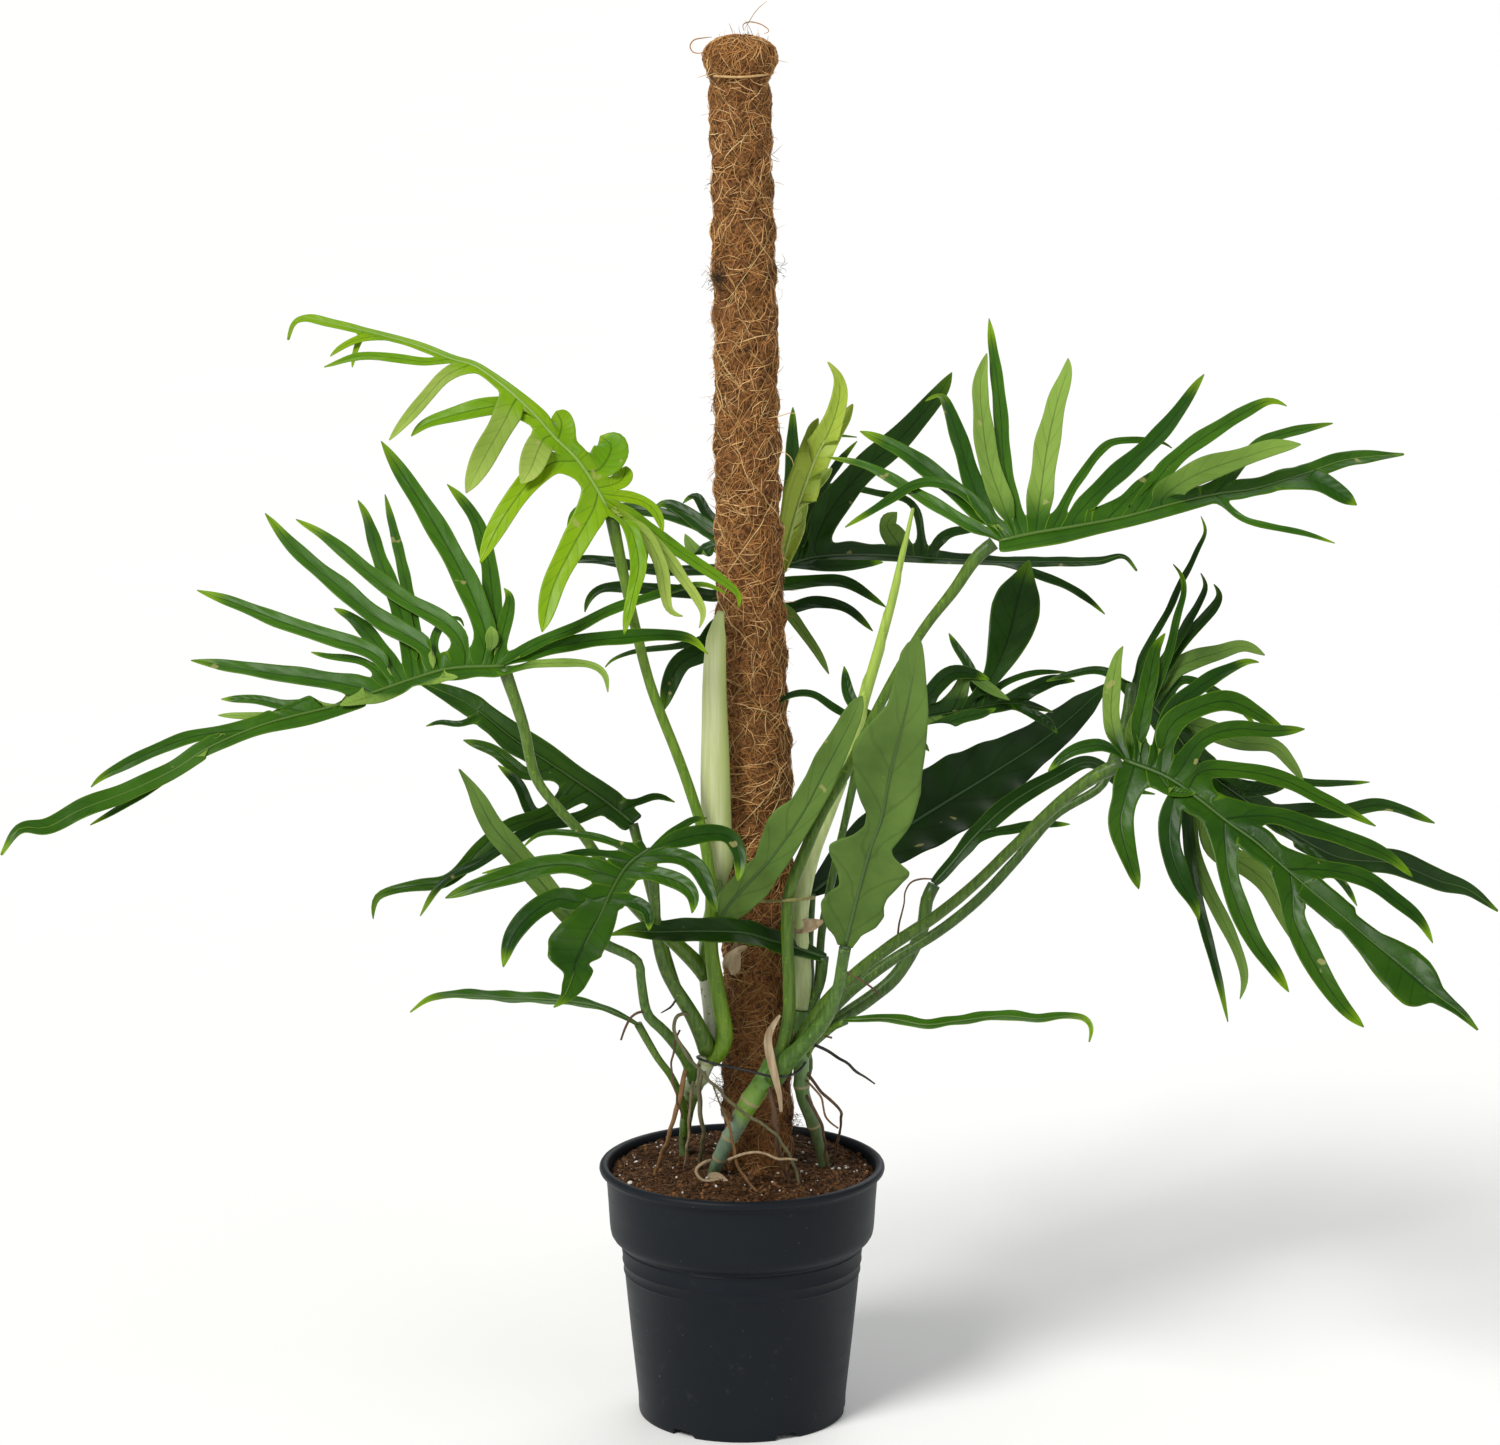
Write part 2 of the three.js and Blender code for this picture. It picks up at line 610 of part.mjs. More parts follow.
      radii: [3.6, 4, 4.6, 5],
      path: [[1132, 684, -20], [1126, 720, -28], [1112, 762, -36], [1101, 786, -40], [1055, 815, -46],
        [1014, 862, -50], [978, 900, -48], [938, 932, -42], [892, 960, -37], [850, 992, -33],
        [826, 1016, -30], [808, 1034, -28]],
    },
    blade: {
      widths: [26, 30, 30, 28, 26, 24, 22, 3],
      path: [[1132, 683, -20], [1165, 720, -6], [1200, 765, 8], [1245, 800, 26], [1300, 838, 49],
        [1341, 858, 67], [1397, 864, 90], [1439, 881, 109], [1467, 889, 123], [1498, 911, 136]],
    },
    lobes: [
      [7, 0, [1134, 678], [1158, 629], [1189, 568], [1201, 516]],
      [8, 0, [1140, 685], [1175, 644], [1199, 603], [1204, 575]],
      [12, 0, [1142, 690], [1180, 644], [1215, 606], [1216, 584]],
      [18, 0, [1150, 700], [1192, 661], [1244, 646], [1265, 655]],
      [8, -8, [1152, 702], [1184, 679], [1240, 707], [1256, 727]],
      [8, 0, [1132, 683], [1113, 674], [1072, 674], [1046, 681]],
      [18, -6, [1160, 714], [1200, 727], [1273, 746], [1304, 782]],
      [8, 0, [1245, 798], [1290, 780], [1341, 783], [1370, 782]],
      [15, 0, [1275, 820], [1341, 812], [1383, 805], [1435, 823]],
      [8, -6, [1290, 836], [1324, 864], [1357, 906]],
      [23, 0, [1205, 775], [1217, 858], [1270, 887], [1296, 945]],
      [15, 6, [1190, 760], [1206, 887], [1240, 957], [1240, 999]],
      [11, 10, [1185, 755], [1195, 889], [1215, 965], [1228, 1022]],
    ],
  },
  leaf_narrow_right: {
    colour: 0x25552a,
    lean: 0.6,
    stalk: {
      radii: [5.5, 5.5, 6, 5],
      path: [[934, 885, -8], [927, 900, -8], [922, 930, -8], [896, 976, -10], [869, 999, -12],
        [836, 1021, -14], [808, 1046, -22]],
    },
    blade: {
      widths: [8, 14, 16, 14, 12, 10, 3],
      path: [[934, 883, -8], [948, 868, -2], [975, 836, 10], [1010, 804, 28], [1055, 777, 55],
        [1090, 770, 76], [1127, 788, 94], [1155, 794, 106]],
    },
    lobes: [[9, 0, [980, 832], [1010, 830], [1033, 825], [1070, 824]]],
  },
  leaf_low_right: {
    colour: 0x3a7030,
    lean: 2.4,
    stalk: { radii: [2.6, 3, 4], path: [[846, 1021, -48], [828, 1030, -40], [814, 1042, -33],
      [804, 1058, -24]] },
    blade: {
      widths: [6, 13, 14, 13, 10, 3],
      path: [[845, 1020, -48], [892, 1019, -61], [925, 1025, -74], [959, 1021, -88], [1003, 1016, -103],
        [1037, 1019, -116], [1070, 1016, -129], [1086, 1019, -136], [1092, 1028, -140],
        [1089, 1042, -145]],
    },
  },
};

// Green stems that rise out of the soil
const STEMS = {
  stem_front: {
    colour: 0x6c9440,
    radii: [4.5, 6.5, 8.5, 10, 10.5, 8],
    path: [[704, 1215, -18], [712, 1178, -25], [722, 1152, -34], [734, 1130, -41], [745, 1110, -45],
      [757, 1091, -47], [768, 1074, -46], [774, 1062, -45]],
  },
  stem_left: {
    colour: 0x8aa068,
    radii: [4, 4.5, 5.5, 8, 6.5, 6.2, 6.2],
    path: [[684, 1170, 34], [684, 1144, 30], [686, 1120, 8], [692, 1090, -18], [708, 1058, -38],
      [711, 1020, -38], [708, 990, -37], [706, 973, -36]],
  },
  stem_right: {
    colour: 0x5f8040,
    radii: [4.5, 5.5, 6.5, 7],
    path: [[826, 1172, 6], [820, 1146, 0], [812, 1120, -12], [803, 1095, -20], [801, 1060, -25],
      [802, 1010, -27]],
  },
};

// Cream sheath of a leaf still to open, on the left stem
const SHEATH = {
  colour: 0xd8dfae,
  lean: 0.1,
  stalk: {
    radii: [6, 5.5, 5],
    path: [[718, 880, -37], [713, 905, -36], [707, 930, -35], [705, 950, -35], [706, 962, -35]],
  },
  blade: {
    widths: [18, 24, 26, 24, 16, 3],
    path: [[718, 886, -38], [717, 820, -40], [716, 750, -40], [716, 690, -40], [718, 640, -40],
      [719, 611, -40]],
  },
};

// Coir pole, leaning a little to the left as it rises
const POLE_PATH = [
  [760, 1250, 0], [758, 1140, 0], [757, 1060, 0], [757, 800, 0], [750, 600, 0], [745, 300, 0],
  [740, 80, 0], [740, 36, 0],
];

// Aerial roots, with the radius of each
const ROOTS = {
  root_black_right: [1.3, [801, 1042, -27], [812, 1043, -36], [839, 1059, -44], [858, 1072, -50],
    [875, 1084, -54]],
  root_brown_left: [1.1, [650, 1014, -70], [640, 1011, -76], [627, 1022, -78], [621, 1040, -78]],
  root_black_left: [1, [690, 1010, -58], [678, 999, -66], [673, 1005, -68], [661, 1013, -68]],
  root_long_loop: [1.5, [700, 1030, -48], [688, 1013, -66], [676, 1019, -70], [675, 1032, -72],
    [684, 1051, -72], [707, 1078, -70], [724, 1095, -70], [749, 1116, -68], [772, 1132, -62],
    [792, 1160, -52], [800, 1190, -48]],
  root_olive_left: [2, [688, 1062, -34], [681, 1090, -50], [672, 1126, -46], [658, 1166, -20],
    [652, 1192, -16]],
  root_grey_left: [2, [702, 1068, -38], [699, 1100, -44], [703, 1130, -34], [700, 1160, -12],
    [699, 1184, -6]],
  root_orange_front: [1.4, [735, 1128, -40], [724, 1110, -58], [730, 1130, -62], [738, 1165, -62],
    [762, 1200, -66], [768, 1216, -68]],
  root_red_front: [2, [768, 1080, -46], [772, 1100, -58], [775, 1126, -58], [779, 1156, -50],
    [788, 1178, -42], [792, 1196, -40]],
  root_right_far: [1.3, [802, 1066, -24], [818, 1087, -30], [839, 1108, -28], [841, 1122, -14],
    [836, 1150, 8], [834, 1170, 14]],
  root_right_near: [1.3, [804, 1090, -20], [812, 1106, -32], [822, 1126, -26], [826, 1160, -6],
    [827, 1180, 0]],
};

// Dry papery bracts left at the nodes
const BRACTS = {
  bract_front: {
    colour: 0xc9b48c,
    lean: 0.2,
    blade: {
      widths: [3, 9, 9, 8, 3],
      path: [[772, 1070, -56], [766, 1050, -60], [772, 1076, -63], [778, 1096, -60], [781, 1112, -58]],
    },
  },
  bract_right: {
    colour: 0xb09c80,
    lean: 0.3,
    blade: { widths: [8, 12, 12, 3], path: [[791, 929, -37], [800, 927, -38], [812, 925, -39],
      [823, 921, -40]] },
  },
};

function potSolid() {
  const outside = [
    [0, 0], [POT.underRadius, 0], [POT.footRadius - 1, 3], [POT.footRadius, POT.footTop],
    [POT.shoulderRadius, POT.shoulder], [POT.collarBottomRadius, POT.collarBottom],
    [POT.collarRadius, POT.height - POT.lipDrop], [POT.rimRadius - 1.5, POT.height - POT.lipDrop + 0.5],
    [POT.rimRadius, POT.height - POT.lipDrop / 2], [POT.rimRadius - 1.5, POT.height - 0.6],
    [POT.rimRadius - 4, POT.height],
  ];
  const inside = [
    [POT.collarRadius - POT.wall, POT.height - 2.5],
    [POT.collarBottomRadius - POT.wall, POT.collarBottom + 0.6],
    [POT.shoulderRadius - POT.wall, POT.shoulder + 0.6], [POT.footRadius - POT.wall, POT.footTop],
    [POT.footRadius - POT.wall - 1, POT.floor], [0, POT.floor],
  ];
  const body = lathe([...outside, ...inside], POT.sides);
  let result = body;
  for (let turn = 0; turn < POT.notches; turn += 1) {
    const cut = new THREE.BoxGeometry(POT.notchWidth, 30, POT.notchHeight * 2);
    cut.translate(0, -POT.footRadius - 9, 0);
    cut.rotateZ((turn / POT.notches) * Math.PI * 2 - 0.26);
    result = result.subtract(solid(merged(cut)));
  }
  return result;
}

// Geometry with only its positions, its equal vertices made one
function merged(geometry) {
  const places = new Map();
  const points = [];
  const source = geometry.index ? geometry.toNonIndexed() : geometry;
  const position = source.attributes.position;
  const faces = [];
  for (let corner = 0; corner < position.count; corner += 1) {
    const point = new THREE.Vector3().fromBufferAttribute(position, corner);
    const key = point.toArray().map((value) => Math.round(value * 1e4)).join();
    if (!places.has(key)) places.set(key, points.push(point) - 1);
    faces.push(places.get(key));
  }
  const whole = [];
  for (let face = 0; face < faces.length; face += 3) {
    const [a, b, c] = faces.slice(face, face + 3);
    if (a !== b && b !== c && c !== a) whole.push(a, b, c);
  }
  return surface(points, whole);
}

function lathe(profile, sides) {
  const outline = profile.map(([radius, height]) => new THREE.Vector2(radius, height));
  const geometry = new THREE.LatheGeometry(outline, sides);
  geometry.rotateX(Math.PI / 2);
  return solid(merged(geometry));
}

function soilSolid() {
  const inset = POT.wall + GAP;
  return lathe([
    [0, POT.floor + GAP], [POT.footRadius - inset - 1.2, POT.floor + GAP],
    [POT.footRadius - inset, POT.footTop],
    [POT.shoulderRadius - inset, POT.shoulder + 1.4],
    [POT.collarBottomRadius - inset, POT.collarBottom + 1.6],
    [POT.collarRadius - inset - 0.9, SOIL.edge], [SOIL.shoulderRadius, SOIL.middle - 1], [0, SOIL.middle],
  ], POT.sides);
}

// The coir sleeve is knobbly, with a mushroom cap, and the stake runs up inside it
function coirSolid(extra) {
  return tube(POLE_PATH, POLE.coirRadii, POLE.sides, POLE.steps, extra);
}

// The stake runs from deep in the soil up to just under the coir's cap
const STAKE_ENDS = [[762, 1390, 0], [740, 76, 0]];

function stakeSolid(extra) {
  const path = [STAKE_ENDS[0], ...POLE_PATH.slice(1, -1), STAKE_ENDS[1]];
  return tube(path, [POLE.stakeRadius], SIDES.stake, path.length, extra);
}

// Ties, as closed loops of cord: what they hold is pressed in a little under them
const TIES = {
  tie_black: {
    colour: 0x16171a,
    radius: 1.1,
    path: [[698, 1058, -44], [712, 1063, -58], [730, 1067, -58], [753, 1072, -62], [775, 1077, -62],
      [794, 1074, -50], [806, 1062, -28], [802, 1054, 4], [785, 1050, 26], [757, 1046, 36],
      [728, 1050, 26], [704, 1055, -10]],
  },
  tie_raffia: {
    colour: 0x8f8a45,
    radius: 1.4,
    path: [[726, 895, 6], [729, 898, -12], [740, 900, -27], [757, 901, -34], [775, 901, -50],
      [790, 900, -62], [803, 899, -56], [813, 898, -38], [812, 897, -18], [800, 895, 8],
      [780, 893, 28], [757, 892, 35], [736, 893, 26]],
  },
  tie_pole_top: {
    colour: 0xc6a05a,
    radius: 1,
    path: [[707, 74, 0], [717, 76, -19], [740, 77, -27], [763, 75, -19], [773, 73, 0], [763, 71, 19],
      [740, 70, 27], [717, 71, 19]],
  },
};

// Cord swept round a closed curve
function loopSolid({ path, radius }, extra) {
  const steps = 24;
  const sides = 5;
  const curve = new THREE.CatmullRomCurve3(path.map(seen), true, 'centripetal');
  const frames = curve.computeFrenetFrames(steps, true);
  const points = [];
  const faces = [];
  for (let step = 0; step < steps; step += 1) {
    const centre = curve.getPointAt(step / steps);
    for (let side = 0; side < sides; side += 1) {
      const angle = (side / sides) * Math.PI * 2;
      const out = frames.normals[step].clone().multiplyScalar(Math.cos(angle) * (radius + extra));
      out.addScaledVector(frames.binormals[step], Math.sin(angle) * (radius + extra));
      points.push(out.add(centre));
      const a = step * sides + side;
      const b = step * sides + ((side + 1) % sides);
      const c = ((step + 1) % steps) * sides + ((side + 1) % sides);
      const d = ((step + 1) % steps) * sides + side;
      faces.push(a, b, c, a, c, d);
    }
  }
  return solid(surface(points, faces));
}

// Pieces made so far, each with its own solid and a copy grown by the clearance
const made = [];

function touches(one, other) {
  const a = one.boundingBox();
  const b = other.boundingBox();
  return [0, 1, 2].every((axis) => a.min[axis] < b.max[axis] && b.min[axis] < a.max[axis]);
}

function largest(whole) {
  const parts = whole.decompose();
  return parts.reduce((best, part) => (part.volume() > best.volume() ? part : best));
}

// A later piece is cut back to a clearance from every earlier one that it meets
function add(name, colour, build, roughness = 0.55) {
  let own = build(0);
  for (const other of made) {
    if (touches(own, other.grown)) own = own.subtract(other.grown);
  }
  made.push({ name, colour, roughness, own: largest(own), grown: build(GAP) });
}

for (const [name, tie] of Object.entries(TIES)) {
  add(name, tie.colour, (extra) => loopSolid(tie, extra), 0.5);
}
add('pole_stake', 0x9a7448, stakeSolid, 0.8);
add('pole_coir', 0x8a5c30, coirSolid, 0.95);
for (const [name, stem] of Object.entries(STEMS)) {
  const steps = stem.path.length + 1;
  add(name, stem.colour, (extra) => tube(stem.path, stem.radii, SIDES.stem, steps, extra), 0.5);
}
add('sheath_cream', SHEATH.colour, (extra) => leafSolid(SHEATH, extra), 0.45);
for (const [name, leaf] of Object.entries(LEAVES)) {
  add(name, leaf.colour, (extra) => leafSolid(leaf, extra), 0.4);
}
for (const [name, bract] of Object.entries(BRACTS)) {
  add(name, bract.colour, (extra) => leafSolid(bract, extra), 0.9);
}
for (const [name, [radius, ...path]] of Object.entries(ROOTS)) {
  const steps = path.length * 2;
  add(name, 0x5a3f22, (extra) => tube(path, [radius], SIDES.stalk, steps, extra), 0.8);
}
add('soil', 0x3d2618, soilSolid, 1);
made.push({ name: 'pot', colour: 0x26292e, roughness: 0.42, own: potSolid() });

// Slivers finer than this are smoothed away
const SLIVER = 0.05;

function shown({ name, colour, roughness, own }) {
  const { vertProperties, triVerts } = largest(own.simplify(SLIVER)).getMesh();
  const geometry = new THREE.BufferGeometry();
  geometry.setAttribute('position', new THREE.BufferAttribute(new Float32Array(vertProperties), 3));
  geometry.setIndex(new THREE.BufferAttribute(new Uint32Array(triVerts), 1));
  geometry.computeVertexNormals();
  const material = new THREE.MeshStandardMaterial({ color: colour, roughness, metalness: 0 });
  const mesh = new THREE.Mesh(geometry, material);
  mesh.name = name;
  return mesh;
}

const plant = new THREE.Group();
for (const piece of made) plant.add(shown(piece));

export default plant;
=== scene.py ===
import math
import random

import bpy
import bmesh
import numpy as np
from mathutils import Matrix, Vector, noise


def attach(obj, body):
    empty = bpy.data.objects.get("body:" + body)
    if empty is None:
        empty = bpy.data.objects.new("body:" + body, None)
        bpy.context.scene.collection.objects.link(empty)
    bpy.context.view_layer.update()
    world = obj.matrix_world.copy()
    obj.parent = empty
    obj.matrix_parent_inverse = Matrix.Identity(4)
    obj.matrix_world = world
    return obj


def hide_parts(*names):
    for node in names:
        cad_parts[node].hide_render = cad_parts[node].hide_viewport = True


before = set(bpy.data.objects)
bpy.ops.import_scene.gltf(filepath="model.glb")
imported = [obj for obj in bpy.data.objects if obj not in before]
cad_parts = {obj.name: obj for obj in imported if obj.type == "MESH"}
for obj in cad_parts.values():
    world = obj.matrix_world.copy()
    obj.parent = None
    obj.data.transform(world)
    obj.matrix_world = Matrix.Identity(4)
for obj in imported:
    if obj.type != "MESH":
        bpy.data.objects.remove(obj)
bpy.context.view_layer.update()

MM = 0.001
CIRCLE = 2 * math.pi

# The view in which the plant's outline was read: a place is given by how far across and down that
# view it lies, in pixels, and by its depth behind the pot's centre line, in millimetres
VIEW = {"distance": 3500, "height": 1250, "side": 6.7, "tilt": math.radians(10.64), "focal": 4317}
PICTURE = (1500, 1445)

# About what one pixel of that view spans beside the pole, in millimetres
PIXEL = 0.83

# How far a lobe's tip hangs back under its own weight, as a share of its length
DROOP = 0.12

# Driving sizes of the pot, the soil and the pole, in millimetres
POT = {
    "rim": 120, "height": 217, "collar": 114, "collar_bottom": 111, "collar_low": 160, "shoulder": 102.6,
    "shoulder_low": 149, "foot": 88, "foot_high": 15, "under": 84.5, "lip": 8, "wall": 2.2, "floor": 3,
    "notch_width": 22, "notch_height": 5.5, "notches": 6,
}
SOIL = {"edge": 205, "middle": 213, "radius": 111.4}
POLE_PLACES = [
    (760, 1250, 0), (758, 1140, 0), (757, 1060, 0), (757, 800, 0), (750, 600, 0), (745, 300, 0),
    (740, 80, 0), (740, 36, 0),
]
POLE_RADII = [
    26, 27, 28, 29, 28, 29.5, 28, 29, 30, 28.5, 29.5, 28, 29, 27.5, 28, 26.5, 27, 25.5, 26, 25, 25.5, 24.5,
    23.5, 27.5, 25,
]


def seen(across, down, depth):
    """Place in metres of a point of the view, at its depth."""
    right = (across - PICTURE[0] / 2) / VIEW["focal"]
    up = (PICTURE[1] / 2 - down) / VIEW["focal"]
    ahead = math.cos(VIEW["tilt"]) + up * math.sin(VIEW["tilt"])
    rise = up * math.cos(VIEW["tilt"]) - math.sin(VIEW["tilt"])
    reach = (depth + VIEW["distance"]) / ahead
    return np.array([VIEW["side"] + right * reach, depth, VIEW["height"] + rise * reach]) * MM


def unit(vector):
    """Vector of length one in the same direction."""
    return vector / max(np.linalg.norm(vector), 1e-12)


def smooth(low, high, value):
    """Share from 0 to 1 between two limits, with a soft start and end."""
    share = min(max((value - low) / (high - low), 0.0), 1.0)
    return share * share * (3 - 2 * share)


def evenly(values, share):
    """Value at a share of the way along evenly spaced values."""
    return float(np.interp(share * (len(values) - 1), range(len(values)), values))


class Path:
    """Smooth curve through places, measured along its length in metres."""

    def __init__(self, places, steps=8):
        places = [np.array(place, float) for place in places]
        ends = [2 * places[0] - places[1]] + places + [2 * places[-1] - places[-2]]
        points = []
        for a, b, c, d in zip(ends, ends[1:], ends[2:], ends[3:]):
            points += [self.between(a, b, c, d, step / steps) for step in range(steps)]
        self.points = np.array(points + [places[-1]])
        gaps = np.linalg.norm(np.diff(self.points, axis=0), axis=1)
        self.runs = np.concatenate([[0], np.cumsum(gaps)])
        self.length = float(self.runs[-1])

    @staticmethod
    def between(a, b, c, d, share):
        """Point of the centripetal curve between b and c."""
        one = max(np.linalg.norm(b - a), 1e-9) ** 0.5
        two = one + max(np.linalg.norm(c - b), 1e-9) ** 0.5
        three = two + max(np.linalg.norm(d - c), 1e-9) ** 0.5
        now = one + (two - one) * share
        ab = (one - now) / one * a + now / one * b
        bc = (two - now) / (two - one) * b + (now - one) / (two - one) * c
        cd = (three - now) / (three - two) * c + (now - two) / (three - two) * d
        abc = (two - now) / two * ab + now / two * bc
        bcd = (three - now) / (three - one) * bc + (now - one) / (three - one) * cd
        return (two - now) / (two - one) * abc + (now - one) / (two - one) * bcd

    def at(self, run):
        return np.array([np.interp(run, self.runs, self.points[:, axis]) for axis in range(3)])

    def heading(self, run):
        reach = self.length * 0.02 + 1e-5
        return unit(self.at(min(run + reach, self.length)) - self.at(max(run - reach, 0)))


def route(places):
    """Path through places of the view."""
    return Path([seen(*place) for place in places])


class Sheet:
    """Vertices with their marks, and faces, collected before they become one mesh."""

    MARKS = ("edge", "along", "pale", "tint")

    def __init__(self):
        self.places = []
        self.marks = []
        self.faces = []
        self.kinds = []

    def grid(self, rows, marks, kind=0, closed=False):
        """Quads between rows of places; a closed grid joins each row's last place to its first."""
        start = len(self.places)
        width = len(rows[0])
        for row, row_marks in zip(rows, marks):
            self.places += [tuple(place) for place in row]
            self.marks += row_marks
        for line in range(len(rows) - 1):
            for step in range(width if closed else width - 1):
                after = (step + 1) % width
                a = start + line * width + step
                b = start + line * width + after
                self.faces.append((a, b, b + width, a + width))
                self.kinds.append(kind)

    def cap(self, ring_start, width, kind, flip):
        ring = [ring_start + step for step in range(width)]
        self.faces.append(tuple(reversed(ring)) if flip else tuple(ring))
        self.kinds.append(kind)

    def tube(self, path, radii, sides, steps, kind=0, tint=0.5, wobble=0.0, flat=1.0):
        """Round tube along a path, its radii spread evenly over its length, closed at both ends."""
        start = len(self.places)
        side = unit(np.cross(path.heading(0), (0.31, 0.2, 0.93)))
        rows = []
        marks = []
        for step in range(steps + 1):
            share = step / steps
            forward = path.heading(share * path.length)
            side = unit(side - forward * np.dot(side, forward))
            other = np.cross(forward, side)
            radius = evenly(radii, share) * MM
            centre = path.at(share * path.length)
            row = []
            for corner in range(sides):
                angle = corner / sides * CIRCLE
                grow = 1.0
                if wobble:
                    grow += wobble * noise.noise(Vector(centre * 60) + Vector((
                        math.cos(angle), math.sin(angle), 0
                    )))
                out = side * math.cos(angle) + other * math.sin(angle) * flat
                row.append(centre + out * radius * grow)
            rows.append(row)
            marks.append([(0.0, share, 0.0, tint)] * sides)
        self.grid(rows, marks, kind, closed=True)
        self.cap(start, sides, kind, True)
        self.cap(start + steps * sides, sides, kind, False)

    def mesh(self, name, weld=0.0):
        data = bpy.data.meshes.new(name)
        data.from_pydata(self.places, [], self.faces)
        for index, mark in enumerate(self.MARKS):
            layer = data.attributes.new(mark, "FLOAT", "POINT")
            layer.data.foreach_set("value", [row[index] for row in self.marks])
        data.polygons.foreach_set("material_index", self.kinds)
        data.polygons.foreach_set("use_smooth", [True] * len(self.faces))
        work = bmesh.new()
        work.from_mesh(data)
        if weld:
            bmesh.ops.remove_doubles(work, verts=work.verts, dist=weld)
            bmesh.ops.dissolve_degenerate(work, edges=work.edges, dist=weld)
        else:
            bmesh.ops.recalc_face_normals(work, faces=work.faces)
        work.to_mesh(data)
        work.free()
        return data


def place_object(name, data, materials):
    piece = bpy.data.objects.new(name, data)
    bpy.context.scene.collection.objects.link(piece)
    for item in materials:
        data.materials.append(item)
    return piece


def finished(piece, slot, *nodes):
    """The piece rides on the plant's one body and stands for CAD nodes, which are hidden; its slot is not
    used.
    """
    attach(piece, "root")
    for node in nodes:
        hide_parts(node)
    return piece


class Looks:
    """Small helper that writes one material's nodes."""

    def __init__(self, name):
        self.material = bpy.data.materials.new(name)
        self.material.use_nodes = True
        self.tree = self.material.node_tree
        self.tree.nodes.clear()

    def node(self, kind, settings=None, **inputs):
        made = self.tree.nodes.new("ShaderNode" + kind)
        for key, value in (settings or {}).items():
            setattr(made, key, value)
        for key, value in inputs.items():
            socket = made.inputs[int(key[1:])] if key[0] == "i" and key[1:].isdigit() else made.inputs[key]
            self.set(socket, value)
        return made

    def set(self, socket, value):
        if isinstance(value, bpy.types.NodeSocket):
            self.tree.links.new(value, socket)
        else:
            socket.default_value = value

    def mark(self, name):
        return self.node("Attribute", {"attribute_name": name}).outputs["Fac"]

    def place(self):
        return self.node("TexCoord").outputs["Object"]

    def height(self):
        return self.node("SeparateXYZ", Vector=self.place()).outputs["Z"]

    def stretched(self, scale, vector=None):
        return self.node("Mapping", Vector=vector or self.place(), Scale=scale).outputs[0]

    def noise(self, scale, detail=3.0, rough=0.55, vector=None):
        made = self.node(
            "TexNoise", Vector=vector or self.place(), Scale=scale, Detail=detail, Roughness=rough
        )
        return made.outputs["Fac"]

    def math(self, operation, first, second=0.0, clamp=False):
        made = self.node("Math", {"operation": operation, "use_clamp": clamp}, i0=first, i1=second)
        return made.outputs[0]

    def plus(self, first, second):
        return self.math("ADD", first, second)

    def times(self, first, second, clamp=False):
        return self.math("MULTIPLY", first, second, clamp)

    def step(self, value, low, high, start=0.0, end=1.0):
        made = self.node("MapRange", {"interpolation_type": "SMOOTHSTEP"})
        for key, setting in (
            ("Value", value), ("From Min", low), ("From Max", high), ("To Min", start), ("To Max", end)
        ):
            self.set(made.inputs[key], setting)
        return made.outputs[0]

    def mix(self, share, first, second):
        made = self.node("Mix", {"data_type": "RGBA"}, i0=share, i6=colour(first), i7=colour(second))
        return made.outputs[2]

    def bump(self, height, strength, distance, normal=None):
        made = self.node("Bump", Height=height, Strength=strength, Distance=distance)
        if normal:
            self.set(made.inputs["Normal"], normal)
        return made.outputs[0]

    def finish(self, base, roughness, normal=None, specular=0.5, **more):
        shader = self.node("BsdfPrincipled")
        self.set(shader.inputs["Base Color"], colour(base))
        self.set(shader.inputs["Roughness"], roughness)
        self.set(shader.inputs["Specular IOR Level"], specular)
        for key, value in more.items():
            self.set(shader.inputs[key.replace("_", " ")], value)
        if normal:
            self.set(shader.inputs["Normal"], normal)
        output = self.node("OutputMaterial")
        self.tree.links.new(shader.outputs[0], output.inputs[0])
        return self.material


def colour(value):
    """Three linear shares as a node's colour; a socket stays as it is."""
    return value if isinstance(value, bpy.types.NodeSocket) else (*value, 1.0)


